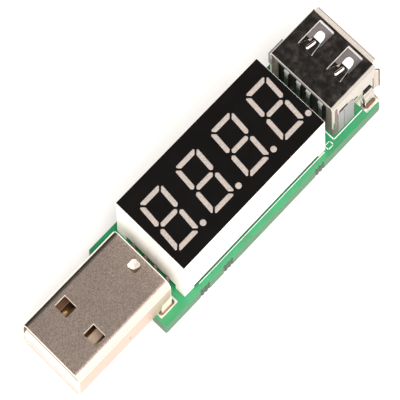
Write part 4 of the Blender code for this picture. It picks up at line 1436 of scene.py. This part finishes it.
def build_connectors(solder, moulding):
    """The plug and the socket, with the finishes they share."""
    edge = mottled("cut_edge", ((0.99, 0.94, 0.88), (0.88, 0.81, 0.74)), (0.42, 0.6), 0.45,
                   (4.0, 2.0, (1.0, 1.0, 0.3)), depth=0.006)
    gold = mottled("gold_contact", ((0.95, 0.72, 0.36), (0.86, 0.62, 0.27)), (0.16, 0.3), 1.0,
                   (2.0, 3.0, (0.1, 1.0, 1.0)), depth=0.002)
    matte = mottled("matte_nickel", ((0.27, 0.26, 0.275), (0.35, 0.335, 0.345)), (0.36, 0.5), 0.4,
                    (6.0, 3.0, (1.0, 1.0, 0.2)))
    # dull cut edges, and painted shade on the solder blobs behind the plug and on the lips' ends
    dull = metal("dull_edge_and_shade", (0.26, 0.22, 0.19), (0.18, 0.15, 0.13), 0.55, 0.6)
    # painted shade: a dark brown for the plug's inner faces, the dimple's near slopes, the side lip ends
    # and the sunken slot solder
    brown = metal("plug_inside_painted_shade", (0.33, 0.22, 0.14), (0.24, 0.15, 0.09), 0.5)
    pressed = metal("pressed_steel", (0.86, 0.80, 0.75), (0.62, 0.54, 0.48), 0.3, 0.8, 0.008, 3.0)
    cream = plastic("plug_white", (0.61, 0.555, 0.51), (0.56, 0.505, 0.465), 0.4)
    nickel = socket_nickel()
    # painted shade: a dark nickel for the socket's inner faces and slot walls
    inside = metal("socket_inside_painted_shade", (0.16, 0.13, 0.12), (0.1, 0.085, 0.08), 0.45)
    lip = metal("lip_nickel", (0.70, 0.63, 0.56), (0.58, 0.51, 0.45), 0.3)
    # painted highlight: near white for the springs' cut edges and heads
    tip = metal("spring_tip_painted_highlight", (1.0, 0.98, 0.95), (0.92, 0.89, 0.86), 0.4, 0.2)
    build_solder_joints(solder, dull)
    build_slot_solder(brown)
    build_plug_tube(plug_steel(), brown, edge, pressed)
    build_plug_legs(metal("plug_leg", (0.80, 0.74, 0.62), (0.70, 0.62, 0.50), 0.5, 0.25))
    build_plug_moulding(cream, tongue_painted_shade())
    build_plug_contacts(gold)
    build_socket_case(nickel, inside, edge)
    build_socket_lips(lip, dull, brown)
    build_socket_sides(nickel, matte, dull)
    build_socket_springs(nickel, tip)
    build_socket_moulding(moulding, plastic("tongue_front_painted_sheen", (0.20, 0.175, 0.18), (0.15, 0.13, 0.135), 0.4))
    build_socket_contacts(gold, tin_with_painted_shadow())
    build_contact_beams(gold)


def build_display(tin, moulding):
    build_display_body(plastic("housing_white", (0.88, 0.87, 0.83), (0.84, 0.82, 0.78), 0.42), moulding)
    build_display_shade_bead(moulding)
    black = plastic("face_black", (0.0035, 0.0028, 0.0028), (0.005, 0.004, 0.004), 0.5, gloss=0.1)
    build_display_mask(black)
    build_display_lights(mottled(
        "segment_pale", ((0.34, 0.295, 0.27), (0.44, 0.385, 0.35)), (0.42, 0.58), 0.0, (3.2, 3.0),
        spread=(0.35, 0.65), depth=0.008,
    ))
    build_display_back(plastic("inner_board", (0.45, 0.36, 0.2), (0.38, 0.3, 0.16), 0.5))
    build_display_pins(tin)


def main():
    tin = solder_tin("tinned_pin")
    solder = solder_tin("solder")
    moulding = plastic("socket_moulding", (0.014, 0.014, 0.014), (0.024, 0.022, 0.021), 0.5, gloss=0.15)
    ink = mottled("print_white", ((0.85, 0.86, 0.82), (0.697, 0.705, 0.672)), (0.5, 0.7), 0.0,
                  (4.0, 4.0), spread=(0.4, 0.7), depth=0.006)
    build_board(board_finish(), ceramic("broken_fibre", (0.055, 0.09, 0.062), (0.028, 0.048, 0.034)))
    build_pads(solder)
    build_print_top(ink)
    build_print_bottom(ink)
    build_traces(mottled("mask_over_copper", ((0.02, 0.46, 0.17), (0.03, 0.54, 0.22)), (0.28, 0.28), 0.0,
                         (0.8, 2.0), (4.0, 2.0), depth=0.005))
    build_vias(solder)
    build_connectors(solder, moulding)
    build_display(tin, moulding)
    build_underside(tin)
    build_floor()
    build_world()
    add_softbox("key", -133, 34, 0.6, (0.4, 0.3), 2.5)
    add_softbox("overhead", -100, 60, 0.7, (0.4, 0.4), 3.2)
    build_camera()
    bpy.context.scene.view_settings.view_transform = "Standard"


main()
